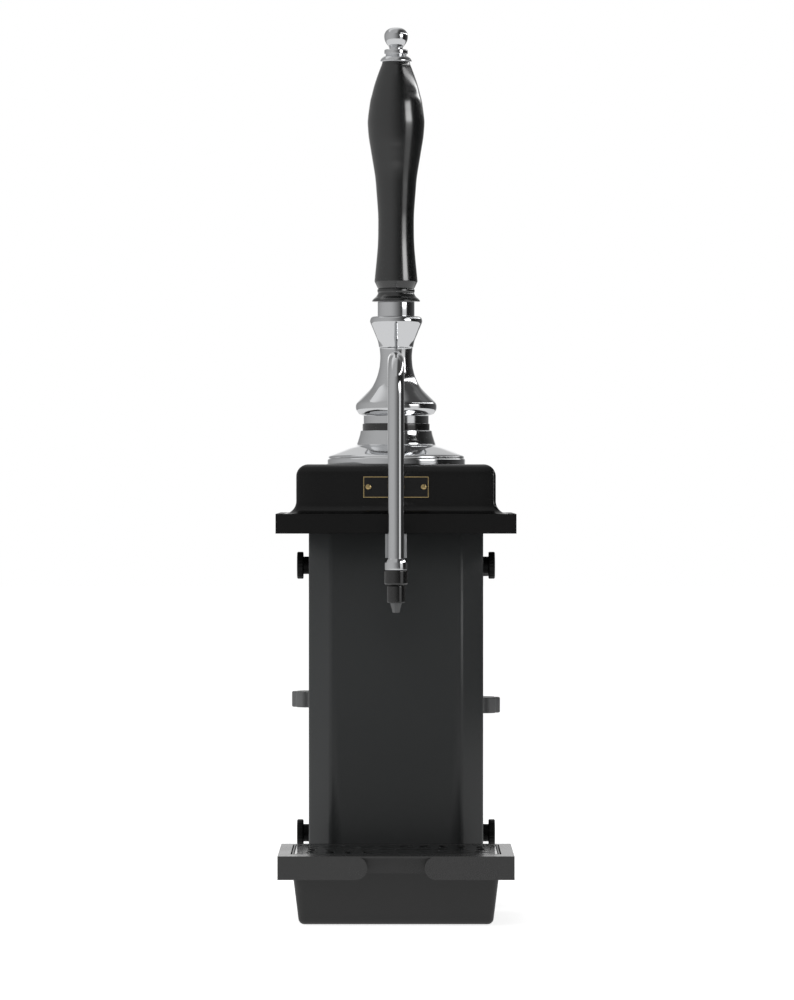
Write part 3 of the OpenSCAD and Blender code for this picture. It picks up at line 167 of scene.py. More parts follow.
def turned(name, profile, centre=(0, 0, 0), axis="Z", segments=128, closed=False, wave=None):
    """A profile of (radius, height) turned about an axis: at turn u and profile point v the point
    is centre + r(v)(cos u A + sin u B) + h(v) C, with A, B, C the axis's right-handed frame.
    wave(u, h) may scale the radius. Ends on the axis become single points."""
    p = np.asarray(profile, float)
    area = np.sum(p[:, 0] * np.roll(p[:, 1], -1) - np.roll(p[:, 0], -1) * p[:, 1])
    if area < 0:
        p = p[::-1]
    frames = {"Z": ((1, 0, 0), (0, 1, 0), (0, 0, 1)), "X": ((0, 1, 0), (0, 0, 1), (1, 0, 0)),
              "-X": ((0, 0, 1), (0, 1, 0), (-1, 0, 0)), "-Y": ((0, 0, 1), (-1, 0, 0), (0, -1, 0)),
              "Y": ((0, 0, 1), (1, 0, 0), (0, 1, 0))}
    a, b, c = (np.array(x, float) for x in frames[axis])
    start, end = (not closed and p[0, 0] < 1e-9), (not closed and p[-1, 0] < 1e-9)
    body = p[int(start) : len(p) - int(end)]
    u = np.arange(segments) * 2 * np.pi / segments
    r = np.repeat(body[:, :1], segments, 1)
    if wave is not None:
        r = r * wave(u[None, :], body[:, 1:2])
    points = (np.array(centre, float) + r[..., None] * (np.cos(u)[None, :, None] * a
              + np.sin(u)[None, :, None] * b) + body[:, 1][:, None, None] * c).reshape(-1, 3)
    rows = len(body)
    faces = grid_faces(rows, segments, close_rows=closed).tolist()
    j = np.arange(segments)
    j2 = (j + 1) % segments
    for there, height, row, flip in ((start, p[0, 1], 0, True), (end, p[-1, 1], rows - 1, False)):
        if there:
            pole = np.full(segments, len(points))
            ring = row * segments
            fan = (pole, ring + j2, ring + j) if flip else (pole, ring + j, ring + j2)
            faces += np.stack(fan, 1).tolist()
            points = np.vstack([points, np.array(centre, float) + height * c])
    return add_mesh(name, points, faces)


def lofted(name, rings, closed=False, sharp=38.0):
    """A skin through rings of points, counterclockwise seen from above and rising on the outside.
    A closed skin joins its last ring to its first, and an open one is capped."""
    rings = np.asarray(rings, float)
    rows, columns, _ = rings.shape
    faces = grid_faces(rows, columns, close_rows=closed).tolist()
    if not closed:
        faces.append(np.arange(columns)[::-1].tolist())
        faces.append((np.arange(columns) + (rows - 1) * columns).tolist())
    return add_mesh(name, rings.reshape(-1, 3), faces, sharp)


def level_rings(levels, centre, corner=6, edge=8):
    """Rings of round-cornered rectangles, one for each level (half width, half depth, corner
    radius, height)."""
    return np.stack([np.column_stack([rounded_rectangle(x, y, r, corner, edge) + centre,
                                      np.full(4 * (corner + edge - 1), z)])
                     for x, y, r, z in levels])


def bar_along_x(name, outline, x0, x1):
    """An outline of (y, z) carried from x0 to x1: point (x, y, z), capped at both ends."""
    o = np.asarray(outline, float)
    if np.sum(o[:, 0] * np.roll(o[:, 1], -1) - np.roll(o[:, 0], -1) * o[:, 1]) < 0:
        o = o[::-1]
    rings = np.stack([np.column_stack([np.full(len(o), x), o]) for x in (x0, x1)])
    return lofted(name, rings)


def circle_yz(y, z, r, n=64):
    """Points of a circle: (y + r cos u, z + r sin u)."""
    u = np.arange(n) * 2 * np.pi / n
    return np.stack([y + r * np.cos(u), z + r * np.sin(u)], 1)


def carve(made, cutters, sharp=38.0):
    """Cuts the cutters out of a piece, keeps the result as its mesh and removes the cutters."""
    for cutter in cutters:
        cut = made.modifiers.new("cut", "BOOLEAN")
        cut.operation, cut.solver, cut.object = "DIFFERENCE", "EXACT", cutter
    shaped = made.evaluated_get(bpy.context.evaluated_depsgraph_get())
    mesh = bpy.data.meshes.new_from_object(shaped)
    made.modifiers.clear()
    made.data = mesh
    for cutter in cutters:
        bpy.data.objects.remove(cutter)
    shade(mesh, sharp)
    return made


def eased_copy(node, name, width, segments, kind, slot, body="frame"):
    """A node's own shape with its triangles joined into flat faces and its edges rounded where
    they turn by more than 30 degrees. It gets its finish and stands for the node."""
    mesh = NODES[node].data.copy()
    mesh.name = name
    if "custom_normal" in mesh.attributes:
        mesh.attributes.remove(mesh.attributes["custom_normal"])
    work = bmesh.new()
    work.from_mesh(mesh)
    bmesh.ops.remove_doubles(work, verts=work.verts, dist=2e-6)
    bmesh.ops.dissolve_limit(work, angle_limit=math.radians(0.5), verts=work.verts,
                             edges=work.edges)
    work.to_mesh(mesh)
    work.free()
    made = bpy.data.objects.new(name, mesh)
    bpy.context.scene.collection.objects.link(made)
    mesh.polygons.foreach_set("use_smooth", np.ones(len(mesh.polygons), bool))
    soft = made.modifiers.new("eased edges", "BEVEL")
    soft.width, soft.segments = width, segments
    soft.limit_method, soft.angle_limit = "ANGLE", math.radians(30.0)
    soft.harden_normals = True
    return finish_piece(made, kind, body, slot, node)


def coat(made, kind):
    """Gives a piece or a node its finish."""
    made.data.materials.clear()
    made.data.materials.append(look(kind))


def finish_piece(made, kind, body, slot, *nodes):
    """Gives a piece its finish, lets it stand for nodes, and puts it on its body. The slot is not
    used.
    """
    coat(made, kind)
    if nodes:
        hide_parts(*nodes)
    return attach(made, body)


def on_axis(name, line, kind, body, slot, stands_for, segments=128):
    """A closed profile in mm, turned about the pillar's axis from a node's foot upwards."""
    made = turned(name, line * MM, (0, 0, low(stands_for)), segments=segments, closed=True)
    return finish_piece(made, kind, body, slot, stands_for)


# --- Finishes ---


def feed(made, inputs):
    """Sets a node's inputs. Each takes a value or another node's output."""
    for key, value in inputs.items():
        if isinstance(value, bpy.types.NodeSocket):
            made.id_data.links.new(value, made.inputs[key])
        else:
            made.inputs[key].default_value = value


def node(tree, kind, inputs=None, **options):
    """Adds a shader node with its options and inputs, and returns its outputs."""
    made = tree.nodes.new("ShaderNode" + kind)
    for name, value in options.items():
        setattr(made, name, value)
    feed(made, inputs or {})
    return made.outputs


def with_nodes(kept_in, name):
    """A new material or world with nodes, and its node tree."""
    made = kept_in.new(name)
    made.use_nodes = True
    return made, made.node_tree


def finish(name, color, rough, metallic, grain, stretch, bump, tone, tone_scale, coating,
           specular, speck=0.0):
    """A surface whose roughness and relief follow a fine noise on Object coordinates, and whose
    colour drifts by the share tone over a coarse one. Stretch draws the fine noise out into
    brushed or turned lines, and speck adds lighter grains."""
    found = bpy.data.materials.get(name)
    if found:
        return found

    def scaled(factor, more=0.0):
        """The colour times a factor, plus more, up to 1."""
        return [min(c * factor + more, 1.0) for c in color] + [1]

    made, tree = with_nodes(bpy.data.materials, name)
    shader = tree.nodes["Principled BSDF"]
    place = node(tree, "TexCoord")["Object"]
    drawn = node(tree, "Mapping", {"Scale": stretch, "Vector": place})["Vector"]
    fine = node(tree, "TexNoise", {"Scale": grain, "Detail": 4.0, "Vector": drawn})["Fac"]
    coarse = node(tree, "TexNoise", {"Scale": tone_scale, "Detail": 5.0, "Vector": place})["Fac"]
    half = node(tree, "Math", {0: coarse, 1: 0.5}, operation="MULTIPLY")["Value"]
    both = node(tree, "Math", {0: fine, 1: 0.5, 2: half}, operation="MULTIPLY_ADD")["Value"]
    spread = node(tree, "MapRange", {"Value": both, "From Min": 0.3, "From Max": 0.7,
                                     "To Min": rough[0], "To Max": rough[1]})["Result"]
    shown = node(tree, "Mix", {"A": scaled(1 - tone), "B": scaled(1 + tone), "Factor": coarse},
                 data_type="RGBA")["Result"]
    if speck:
        dots = node(tree, "TexVoronoi", {"Scale": grain * 0.6, "Vector": place})["Distance"]
        near = node(tree, "MapRange", {"Value": dots, "From Min": 0.25, "From Max": 0.05,
                                       "To Max": speck})["Result"]
        shown = node(tree, "Mix", {"A": shown, "B": scaled(2.5, 0.02), "Factor": near},
                     data_type="RGBA")["Result"]
    feed(shader, {"Metallic": metallic, "Specular IOR Level": specular, "Coat Weight": coating,
                  "Coat Roughness": 0.06, "Roughness": spread, "Base Color": shown})
    relief = node(tree, "Bump", {"Strength": 1.0, "Distance": bump, "Height": fine})
    feed(shader, {"Normal": relief["Normal"]})
    return made


# Each kind of finish: its material, least and greatest roughness, metal, fine noise and its
# stretch, relief in metres, drift of colour and its coarse noise, coat, specular level and, for
# the rubber, speck.
EVEN = (1, 1, 1)
LOOKS = {
    "chrome": ("chrome_plate", (0.06, 0.12), 1, 2600, (0.04, 0.04, 1), 1.2e-7, 0.015, 40, 0, 0.5),
    "sheet": ("powder_coated_sheet", (0.3, 0.4), 0, 1500, EVEN, 6e-6, 0.06, 9, 0, 0.4),
    "board": ("board_laminate", (0.4, 0.5), 0, 1200, EVEN, 6e-6, 0.1, 12, 0, 0.25),
    "casing": ("moulded_casing", (0.2, 0.28), 0, 1600, EVEN, 2e-6, 0.1, 14, 0, 0.45),
    "plate": ("plate_enamel", (0.28, 0.4), 0, 2400, EVEN, 2e-6, 0.2, 90, 0, 0.4),
    "grip": ("lacquered_grip", (0.2, 0.28), 0, 900, (0.3, 0.3, 1), 6e-8, 0.12, 30, 1, 0.8),
    "plastic": ("black_plastic", (0.12, 0.2), 0, 1800, EVEN, 6e-7, 0.1, 60, 1, 0.5),
    "thumb": ("thumb_screw_plastic", (0.3, 0.45), 0, 2200, EVEN, 4e-6, 0.15, 80, 0, 0.2),
    "tray": ("tray_moulding", (0.2, 0.3), 0, 1700, EVEN, 3e-6, 0.06, 12, 0, 0.5),
    # The basin's colour and roughness differ from the tray's: its darker colour is painted shade,
    # for the basin lying below the holder where less light reaches it.
    "basin": ("basin_moulding", (0.3, 0.4), 0, 1700, EVEN, 4e-6, 0.06, 12, 0, 0.5),
    "grille": ("grille_moulding", (0.16, 0.26), 0, 1500, EVEN, 3e-6, 0.1, 30, 0.6, 0.8),
    "knob": ("knob_plastic", (0.45, 0.6), 0, 1900, EVEN, 1e-5, 0.08, 40, 0, 0.5),
    "steel": ("drawn_steel", (0.24, 0.4), 1, 1400, (1, 1, 0.06), 1e-6, 0.1, 60, 0, 0.5),
    "cast": ("cast_caps", (0.45, 0.6), 1, 900, EVEN, 3e-5, 0.12, 40, 0, 0.5),
    "brass": ("satin_brass", (0.22, 0.36), 1, 1600, EVEN, 1e-6, 0.1, 90, 0, 0.5),
    "copper": ("drawn_copper", (0.2, 0.34), 1, 1500, (1, 1, 0.08), 1e-6, 0.12, 50, 0, 0.5),
    "nylon": ("turned_nylon", (0.35, 0.45), 0, 1400, (0.1, 0.1, 1), 3e-6, 0.03, 40, 0, 0.5),
    "rubber": ("rubber", (0.7, 0.85), 0, 1300, EVEN, 2e-5, 0.15, 50, 0, 0.3, 0.25),
}


def settings():
    """The scene's settings of the hand pump."""
    return bpy.context.scene.hand_pump


def look(kind):
    """The material of a kind of finish, in its colour from the settings."""
    name, *measures = LOOKS[kind]
    return finish(name, getattr(settings().finishes, kind), *measures)


# --- Settings ---


def tint(name, thing, default):
    """A setting for the colour of a thing."""
    return bpy.props.FloatVectorProperty(name=name, description="Colour of the " + thing,
                                         default=default, subtype="COLOR", min=0.0, max=1.0)


def length(name, description, default, **limits):
    """A length setting."""
    return bpy.props.FloatProperty(name=name, description=description, default=default,
                                   subtype="DISTANCE", unit="LENGTH", precision=4, **limits)


def amount(name, description, default, least=0.0, unit="NONE"):
    """A number setting."""
    return bpy.props.FloatProperty(name=name, description=description, default=default,
                                   min=least, unit=unit)


class HandPumpFinishes(bpy.types.PropertyGroup):
    """Colours of the finishes."""

    chrome: tint("Chrome", "chrome plate", (0.86, 0.87, 0.885))
    sheet: tint("Sheet paint", "powder coat on column and clamp", (0.026, 0.0275, 0.028))
    board: tint("Board", "worktop board", (0.0028, 0.0028, 0.0028))
    casing: tint("Casing", "moulded casing", (0.0018, 0.0018, 0.0018))
    plate: tint("Name plate", "bare name plate", (0.006, 0.006, 0.006))
    grip: tint("Grip", "lacquer on the grip and its collar", (0.003, 0.0036, 0.0036))
    plastic: tint("Black plastic", "ring and sparkler", (0.008, 0.008, 0.008))
    thumb: tint("Thumb screws", "thumb screws", (0.003, 0.003, 0.003))
    tray: tint("Tray", "tray holder", (0.034, 0.034, 0.034))
    # Darker than the tray: painted shade for the basin below the holder.
    basin: tint("Basin", "basin", (0.016, 0.016, 0.016))
    grille: tint("Grille", "drip grille", (0.02, 0.0205, 0.0205))
    knob: tint("Clamp knobs", "clamp knobs and spout tip", (0.088, 0.09, 0.091))
    steel: tint("Steel", "plain steel pieces", (0.56, 0.57, 0.58))
    cast: tint("Cast caps", "cylinder's caps", (0.42, 0.43, 0.45))
    brass: tint("Brass", "rivets, border and fittings", (0.66, 0.5, 0.24))
    copper: tint("Copper", "beer pipe", (0.72, 0.4, 0.24))
    nylon: tint("Piston", "white piston", (0.78, 0.78, 0.74))
    rubber: tint("Rubber", "foot, seals and clamp pads", (0.018, 0.018, 0.018))


class HandPumpSizes(bpy.types.PropertyGroup):
    """Details that the solids leave plain."""

    sheet_bend: length("Sheet bend", "Radius of the column cover's bends", 0.0028, min=0.0005)
    board_edge: length("Board edge", "Rounding of the board's edges", 0.0006, min=0.0001)
    casing_corner: length("Casing corner", "Rounding of the casing's upright corners", 0.0035,
                          min=0.0005)
    moulding_edge: length("Moulding edge", "Rounding of the tray's edges", 0.0005, min=0.0001)
    border: length("Plate border", "Width of the name plate's brass border", 0.0007, min=0.0002)
    thread: length("Clamp thread", "Depth of the clamp screws' thread", 0.0009, min=0.0)


class HandPumpStage(bpy.types.PropertyGroup):
    """Camera and light."""

    distance: length("Camera distance", "From the pillar's axis to the camera", 4.794, min=1.0)
    eye: length("Camera height", "Height of the camera above the foot", 0.4007)
    lens: amount("Focal length", "Focal length of the camera", 185.4, 10.0, "CAMERA")
    soft: amount("Surrounding light", "Even light on matt faces", 0.3)
    table: amount("Table light", "Light that the table returns", 0.6)
    key: amount("Key light", "Share of light from the left", 0.55)
    fill: amount("Fill light", "Share of light from the right", 0.14)
    top: amount("Top light", "Share of light from above", 0.25)


class HandPumpSettings(bpy.types.PropertyGroup):
    """All settings of the hand pump."""

    finishes: bpy.props.PointerProperty(type=HandPumpFinishes)
    sizes: bpy.props.PointerProperty(type=HandPumpSizes)
    stage: bpy.props.PointerProperty(type=HandPumpStage)


# --- Pieces ---


class HANDPUMP_OT_handle(bpy.types.Operator):
    """Make the turned handle: cup, rod, collar, grip, ferrule and finial"""

    bl_idname = "handpump.handle"
    bl_label = "Handle"

    def execute(self, context):
        self.cup()
        self.rod()
        self.collar()
        self.grip()
        self.ferrule()
        self.finial()
        return {"FINISHED"}

    def cup(self):
        """Ball face, trumpet flare and rolled lip, carved for the crank and the pivot's cheeks."""
        a = np.linspace(-np.pi / 2, -math.asin(15.5 / 22.3), 14)
        ball = 22.3 * np.stack([np.cos(a), np.sin(a)], 1)
        ball[0, 0] = 0
        flare = smooth_line([ball[-1], [17.2, -10], [19.2, -5], [21.4, 0.3], [24.1, 6.6]], 8)
        lip = smooth_line([[24.1, 6.6], [24.5, 8.3], [24.3, 10.2], [23.7, 11.8], [22.6, 12.8],
                           [21.4, 13]], 6)
        profile = np.vstack([ball[:-1], flare[:-1], lip, [[0, 13]]])
        cup = turned("trumpet_cup", profile * MM, (0, 0, PIVOT_Z), segments=160)
        pocket = circle_yz(0, 0, 17)
        pocket = pocket[pocket[:, 1] < 7]
        order = np.argsort(np.arctan2(pocket[:, 1] + 5, pocket[:, 0]))
        shapes = [
            (pocket[order], -7.2, 7.2),
            ([[0, 0], [8.8, 0], [8.8, -30], [-19.2, -23]], -7.19, 7.19),
            (circle_yz(12.01, -4.975, 5.7), -3.2, 3.2),
            (circle_yz(12.01, -4.975, 2.02), -12, 12),
            (circle_yz(0, 0, 3.05), -30, 30),
        ]
        cutters = [bar_along_x(f"cut_{i}", np.asarray(o) * MM + [0, PIVOT_Z], x0 * MM, x1 * MM)
                   for i, (o, x0, x1) in enumerate(shapes)]
        carve(cup, cutters)
        finish_piece(cup, "chrome", "handle", "chrome", "handle_cup")

    def rod(self):
        """A ring of radius 17.3 with eased ends."""
        h = (high("handle_rod") - low("handle_rod")) / MM
        ring = eased([[5, 0], [17.3, 0], [17.3, h], [5, h]], 0.4)
        on_axis("chrome_rod", ring, "chrome", "handle", "chrome", "handle_rod")

    def collar(self):
        """A foot bead, a hollow cove and a top bead."""
        cove = smooth_line([[22.4, 1.4], [21.2, 3], [18.8, 5.1], [17.4, 7.2], [16.9, 8.5]], 6)
        line = np.vstack([[[5, 0], [21.4, 0], [22.4, 0.4]], cove,
                          [[17.3, 9.2], [17.6, 10.2], [17.4, 11.5], [16.9, 12.5], [5, 12.5]]])
        on_axis("moulded_collar", eased(line, 0.5), "grip", "handle", "black_gloss",
                "grip_collar")

    def grip(self):
        """A turned grip: bevelled foot, slim waist, full belly and a tapered neck."""
        share = np.array([[0.27, 0.071], [0.15, 0.126], [0.05, 0.18], [0, 0.237], [0, 0.318],
                          [0.07, 0.373], [0.16, 0.427], [0.28, 0.491], [0.54, 0.566],
                          [0.72, 0.616], [0.9, 0.668], [1, 0.725], [0.97, 0.755],
                          [0.88, 0.788], [0.75, 0.828], [0.58, 0.858], [0.38, 0.894],
                          [0.12, 0.931], [-0.19, 0.97], [-0.33, 0.986], [-0.41, 1]])
        h = (high("handle_grip") - low("handle_grip")) / MM
        side = smooth_line(np.column_stack([16.8 + 9.8 * share[:, 0], h * share[:, 1]]), 8)
        foot = eased([[5, 0], [17.1, 0], [19.9, 5.9], [20.2, 6.8], [19.5, 15]], 0.6, closed=False)
        line = np.vstack([foot[:-1], side, [[5, h]]])
        on_axis("turned_grip", line, "grip", "handle", "black_gloss", "handle_grip", 144)

    def ferrule(self):
        """A flared foot, a groove and a small bead under the finial."""
        line = np.vstack([[[5, 0], [14.2, 0], [14.7, 0.5]],
                          smooth_line([[14.7, 1.2], [13.8, 2.9], [12.1, 4.5], [10, 5.6]], 5),
                          [[9.6, 6.4], [10, 7], [10.9, 7.4], [11, 8], [11, 10.7], [10.3, 11.5],
                           [5, 11.5]]])
        on_axis("ferrule_ring", eased(line, 0.35), "chrome", "handle", "chrome", "ferrule")

    def finial(self):
        """A pear-shaped knob: narrow neck, widening cone and flattened ball."""
        line = np.vstack([[[0, 5], [5, 5], [5, 0], [6.1, 0]],
                          smooth_line([[6.2, 0.6], [6.6, 2.2], [8.8, 5], [10.6, 8.6], [11.1, 12.6],
                                       [10.5, 15.4], [8.5, 18.2], [5.1, 20], [0, 20.5]], 8)])
        finial = turned("finial_knob", line * MM, (0, 0, high("ferrule")))
        finish_piece(finial, "chrome", "handle", "chrome", "finial")


class HANDPUMP_OT_pillar(bpy.types.Operator):
    """Make the pillar: flanged base, black ring and belled body with its ball socket"""

    bl_idname = "handpump.pillar"
    bl_label = "Pillar"

    def execute(self, context):
        n = 33.4
        outer = smooth_line([[64.4, 0.5], [64.4, 4.2], [63.4, 5.8], [61.8, 8.6], [n + 13.6, 14.6],
                             [n + 4.6, 17.6], [n + 3.1, 20], [n + 1.8, 24], [n + 0.6, 28],
                             [n, 31.1]], 8)
        line = np.vstack([[[28, 0], [63.9, 0]], outer, [[n - 0.3, 31.4], [26, 31.4], [26, 12],
                                                       [28, 8]]])
        on_axis("flanged_base", line, "chrome", "frame", "chrome", "pillar_base", 192)

        ring = eased([[26, 0], [31.4, 0], [31.4, 6.5], [26, 6.5]], 0.5)
        on_axis("black_ring", ring, "plastic", "frame", "black_gloss", "pillar_ring")

        w, b, top = 14.85, 37.9, 70.2
        bell = smooth_line([[35.1, 9], [b - 0.4, 12.7], [b, 16.4], [b - 0.4, 18.3], [b - 1.5, 20.2],
                            [b - 4.9, 23.7], [b - 9, 27.7], [b - 12.6, 31.3], [w + 7.6, 34.7],
                            [w + 5.3, 38.7], [w + 3.5, 42.7], [w + 2.3, 46.2], [w + 1.4, 49.7],
                            [w + 0.6, 53.7], [w, 62], [w + 0.5, top - 1.5], [w + 0.8, top]], 8)
        down = np.linspace(math.asin(16.5 / 22.6), math.acos(11 / 22.6), 10)
        socket = np.stack([22.6 * np.cos(down), top + 16.5 - 22.6 * np.sin(down)], 1)
        line = np.vstack([[[26, 0], [30.2, 0], [30.5, 0.3], [30.5, 7.2]], bell, socket,
                          [[11, 38], [24, 22]]])
        on_axis("belled_pillar", line, "chrome", "frame", "chrome", "pillar_body", 160)
        return {"FINISHED"}


class HANDPUMP_OT_swan_neck(bpy.types.Operator):
    """Make the swan neck, its collar and the steady strip behind it"""

    bl_idname = "handpump.swan_neck"
    bl_label = "Swan neck"

    def execute(self, context):
        self.neck()
        line = eased([[6, 1], [6, -10.7], [8, -10.7], [8, 0], [10.5, 0], [10.5, 6.6], [9.6, 8.3],
                      [8.4, 10.3], [7.5, 10.3], [7.5, 1]], 0.35)
        collar = turned("spout_collar_ring", line * MM, (0, SPOUT_Y, 0.3167), segments=96,
                        closed=True)
        finish_piece(collar, "chrome", "frame", "chrome", "spout_collar")
        eased_copy("steady_bracket", "steady_strip", 0.0003, 2, "steel", "steel")
        return {"FINISHED"}

    def neck(self):
        """A tube's wall along a level run, a quarter bend and an upright run. At angle a of the
        path the ring is P + r(cos u N + sin u X), with N = (0, -sin a, cos a)."""
        z, bend, wall = high("swan_neck") - 0.0075, 0.032, 0.0015
        foot = low("swan_neck")
        a = np.linspace(0, np.pi / 2, 40)
        level = np.column_stack([np.linspace(-0.0102, -0.108, 10)[:-1], np.full(9, z)])
        arc = np.column_stack([-0.108 - bend * np.sin(a), z - bend + bend * np.cos(a)])
        upright = np.column_stack([np.full(14, SPOUT_Y), np.linspace(z - bend, foot, 15)[1:]])
        path = np.vstack([level, arc, upright])
        turn = np.concatenate([np.zeros(9), a, np.full(14, np.pi / 2)])
        u = np.arange(72) * 2 * np.pi / 72
        n = np.stack([0 * turn, -np.sin(turn), np.cos(turn)], 1)[:, None]
        centre = np.column_stack([0 * turn, path])[:, None]
        around = np.cos(u)[None, :, None] * n + np.sin(u)[None, :, None] * np.array([1.0, 0, 0])
        rings = np.concatenate([(centre + 0.0075 * around)[::-1],
                                centre + (0.0075 - wall) * around])
        neck = lofted("swan_neck_tube", rings, closed=True)
        finish_piece(neck, "chrome", "frame", "chrome", "swan_neck")


class HANDPUMP_OT_sparkler(bpy.types.Operator):
    """Make the sparkler: ring nut, sleeve and fluted tip"""

    bl_idname = "handpump.sparkler"
    bl_label = "Sparkler"

    def execute(self, context):
        place = (0, SPOUT_Y, 0.0)
        z = low("sparkler_nut") / MM
        nut = eased([[6.5, 0], [9.4, 0], [10.6, 0.6], [11, 1.6], [11, 12.6], [10.5, 13.4],
                     [8.05, 13.4], [8.05, 2], [6.5, 2]], 0.3)
        made = turned("ring_nut", (nut + [0, z]) * MM, place, segments=96, closed=True)
        finish_piece(made, "plastic", "sparkler", "black_gloss", "sparkler_nut")
        z = low("sparkler_sleeve") / MM
        sleeve = eased([[3, 0], [8.1, 0], [8.5, 0.5], [8.5, 14.7], [7.7, 15.9], [4.5, 15.9],
                        [4.5, 3], [3, 3]], 0.3)
        made = turned("sparkler_barrel", (sleeve + [0, z]) * MM, place, segments=96, closed=True)
        finish_piece(made, "plastic", "sparkler", "black_gloss", "sparkler_sleeve")
        z = low("sparkler_tip") / MM
        tip = eased([[2, 0], [3.3, 0], [4.2, 4], [5.4, 9], [3, 9], [3, 12], [2, 12]], 0.25)

        def flutes(u, h):
            """1 - 0.055 (1 + cos 8u) below the tip's shoulder, fading out upwards."""
            fade = np.clip((z + 8 - h / MM) / 6, 0, 1)
            return 1 - 0.055 * (1 + np.cos(8 * u)) * fade * (h / MM < z + 8.9)

        made = turned("sparkler_nozzle", (tip + [0, z]) * MM, place, segments=96, closed=True,
                      wave=flutes)
        finish_piece(made, "knob", "sparkler", "grey_plastic", "sparkler_tip")
        return {"FINISHED"}


class HANDPUMP_OT_casing(bpy.types.Operator):
    """Make the casing and the worktop board below it"""

    bl_idname = "handpump.casing"
    bl_label = "Casing and board"

    def execute(self, context):
        size = settings().sizes
        half = np.array([91.5, 75.5])
        corner = size.casing_corner / MM
        z0, h, f, r = low("cowl") / MM, 45.4, 11.5, 11.0
        a = np.linspace(np.pi / 2, 0, 12)
        cove = np.column_stack([f * (1 - np.cos(a)), f * (1 - np.sin(a))])
        b = np.linspace(0, np.pi / 2, 12)
        shoulder = np.column_stack([-r * (1 - np.cos(b)), h - r + r * np.sin(b)])
        outer = np.vstack([cove, shoulder])
        levels = [(half[0] + o, half[1] + o, max(corner + min(o, 0) * 0.25, 0.6), z0 + z)
                  for o, z in outer]
        rings = level_rings(levels, (0, 0), corner=6, edge=12)
        angle = np.arctan2(rings[-1][:, 1], rings[-1][:, 0])
        hole = 28 * np.stack([np.cos(angle), np.sin(angle)], 1)
        top = np.stack([np.column_stack([hole, np.full(len(hole), z0 + z)]) for z in (h, h - 2)])
        inside = level_rings([(80.5, 64.5, 2, z0 + h - 2), (87.5, 71.5, 2, z0 + h - 7),
                              (87.5, 71.5, 2, z0)], (0, 0), corner=6, edge=12)
        casing = lofted("moulded_casing", np.concatenate([rings, top, inside]) * MM, closed=True,
                        sharp=50)
        finish_piece(casing, "casing", "frame", "casing_black", "cowl")
        eased_copy("board", "worktop_board", size.board_edge, 3, "board", "board_black")
        return {"FINISHED"}


class HANDPUMP_OT_name_plate(bpy.types.Operator):
    """Make the bare name plate with its brass border and two rivets"""

    bl_idname = "handpump.name_plate"
    bl_label = "Name plate"

    def execute(self, context):
        z = low("name_plate") + 0.01
        x, y = 30.35, 10

        def slab(levels):
            """Rings of round-cornered rectangles that face the front: (x, y, r, depth) becomes
            (x, FRONT_Y - depth, z + y)."""
            rings = level_rings(levels, (0, 0), corner=4, edge=3) * MM
            return np.stack([rings[..., 0], FRONT_Y - rings[..., 2], z + rings[..., 1]], -1)

        plate = slab([(x, y, 0.8, 0), (x, y, 0.8, 1.0), (x - 0.2, y - 0.2, 0.7, 1.2)])
        made = lofted("bare_plate", plate)
        finish_piece(made, "plate", "frame", "plate_black", "name_plate")
        w = settings().sizes.border / MM
        x, y = 29.9, 9.65
        border = slab([(x, y, 0.5, 0.9), (x, y, 0.5, 1.24), (x - 0.06, y - 0.06, 0.45, 1.28),
                       (x - w + 0.06, y - w + 0.06, 0.3, 1.28), (x - w, y - w, 0.3, 1.24),
                       (x - w, y - w, 0.3, 0.9)])
        made = lofted("plate_border", border, closed=True)
        finish_piece(made, "brass", "frame", "brass")
        dome = smooth_line([[2.75, 1.2], [2.6, 1.65], [2.05, 2.1], [1, 2.33], [0, 2.4]], 5)
        line = np.vstack([[[0, 0], [1.2, 0], [1.2, 1.19], [2.7, 1.19]], dome]) * MM
        for side, word in ((-1, "left"), (1, "right")):
            made = turned(f"rivet_{word}", line, (side * 0.02535, FRONT_Y, z), axis="-Y",
                          segments=40)
            stands_for = ["plate_rivets"] if side < 0 else []
            finish_piece(made, "brass", "frame", "brass", *stands_for)
        return {"FINISHED"}


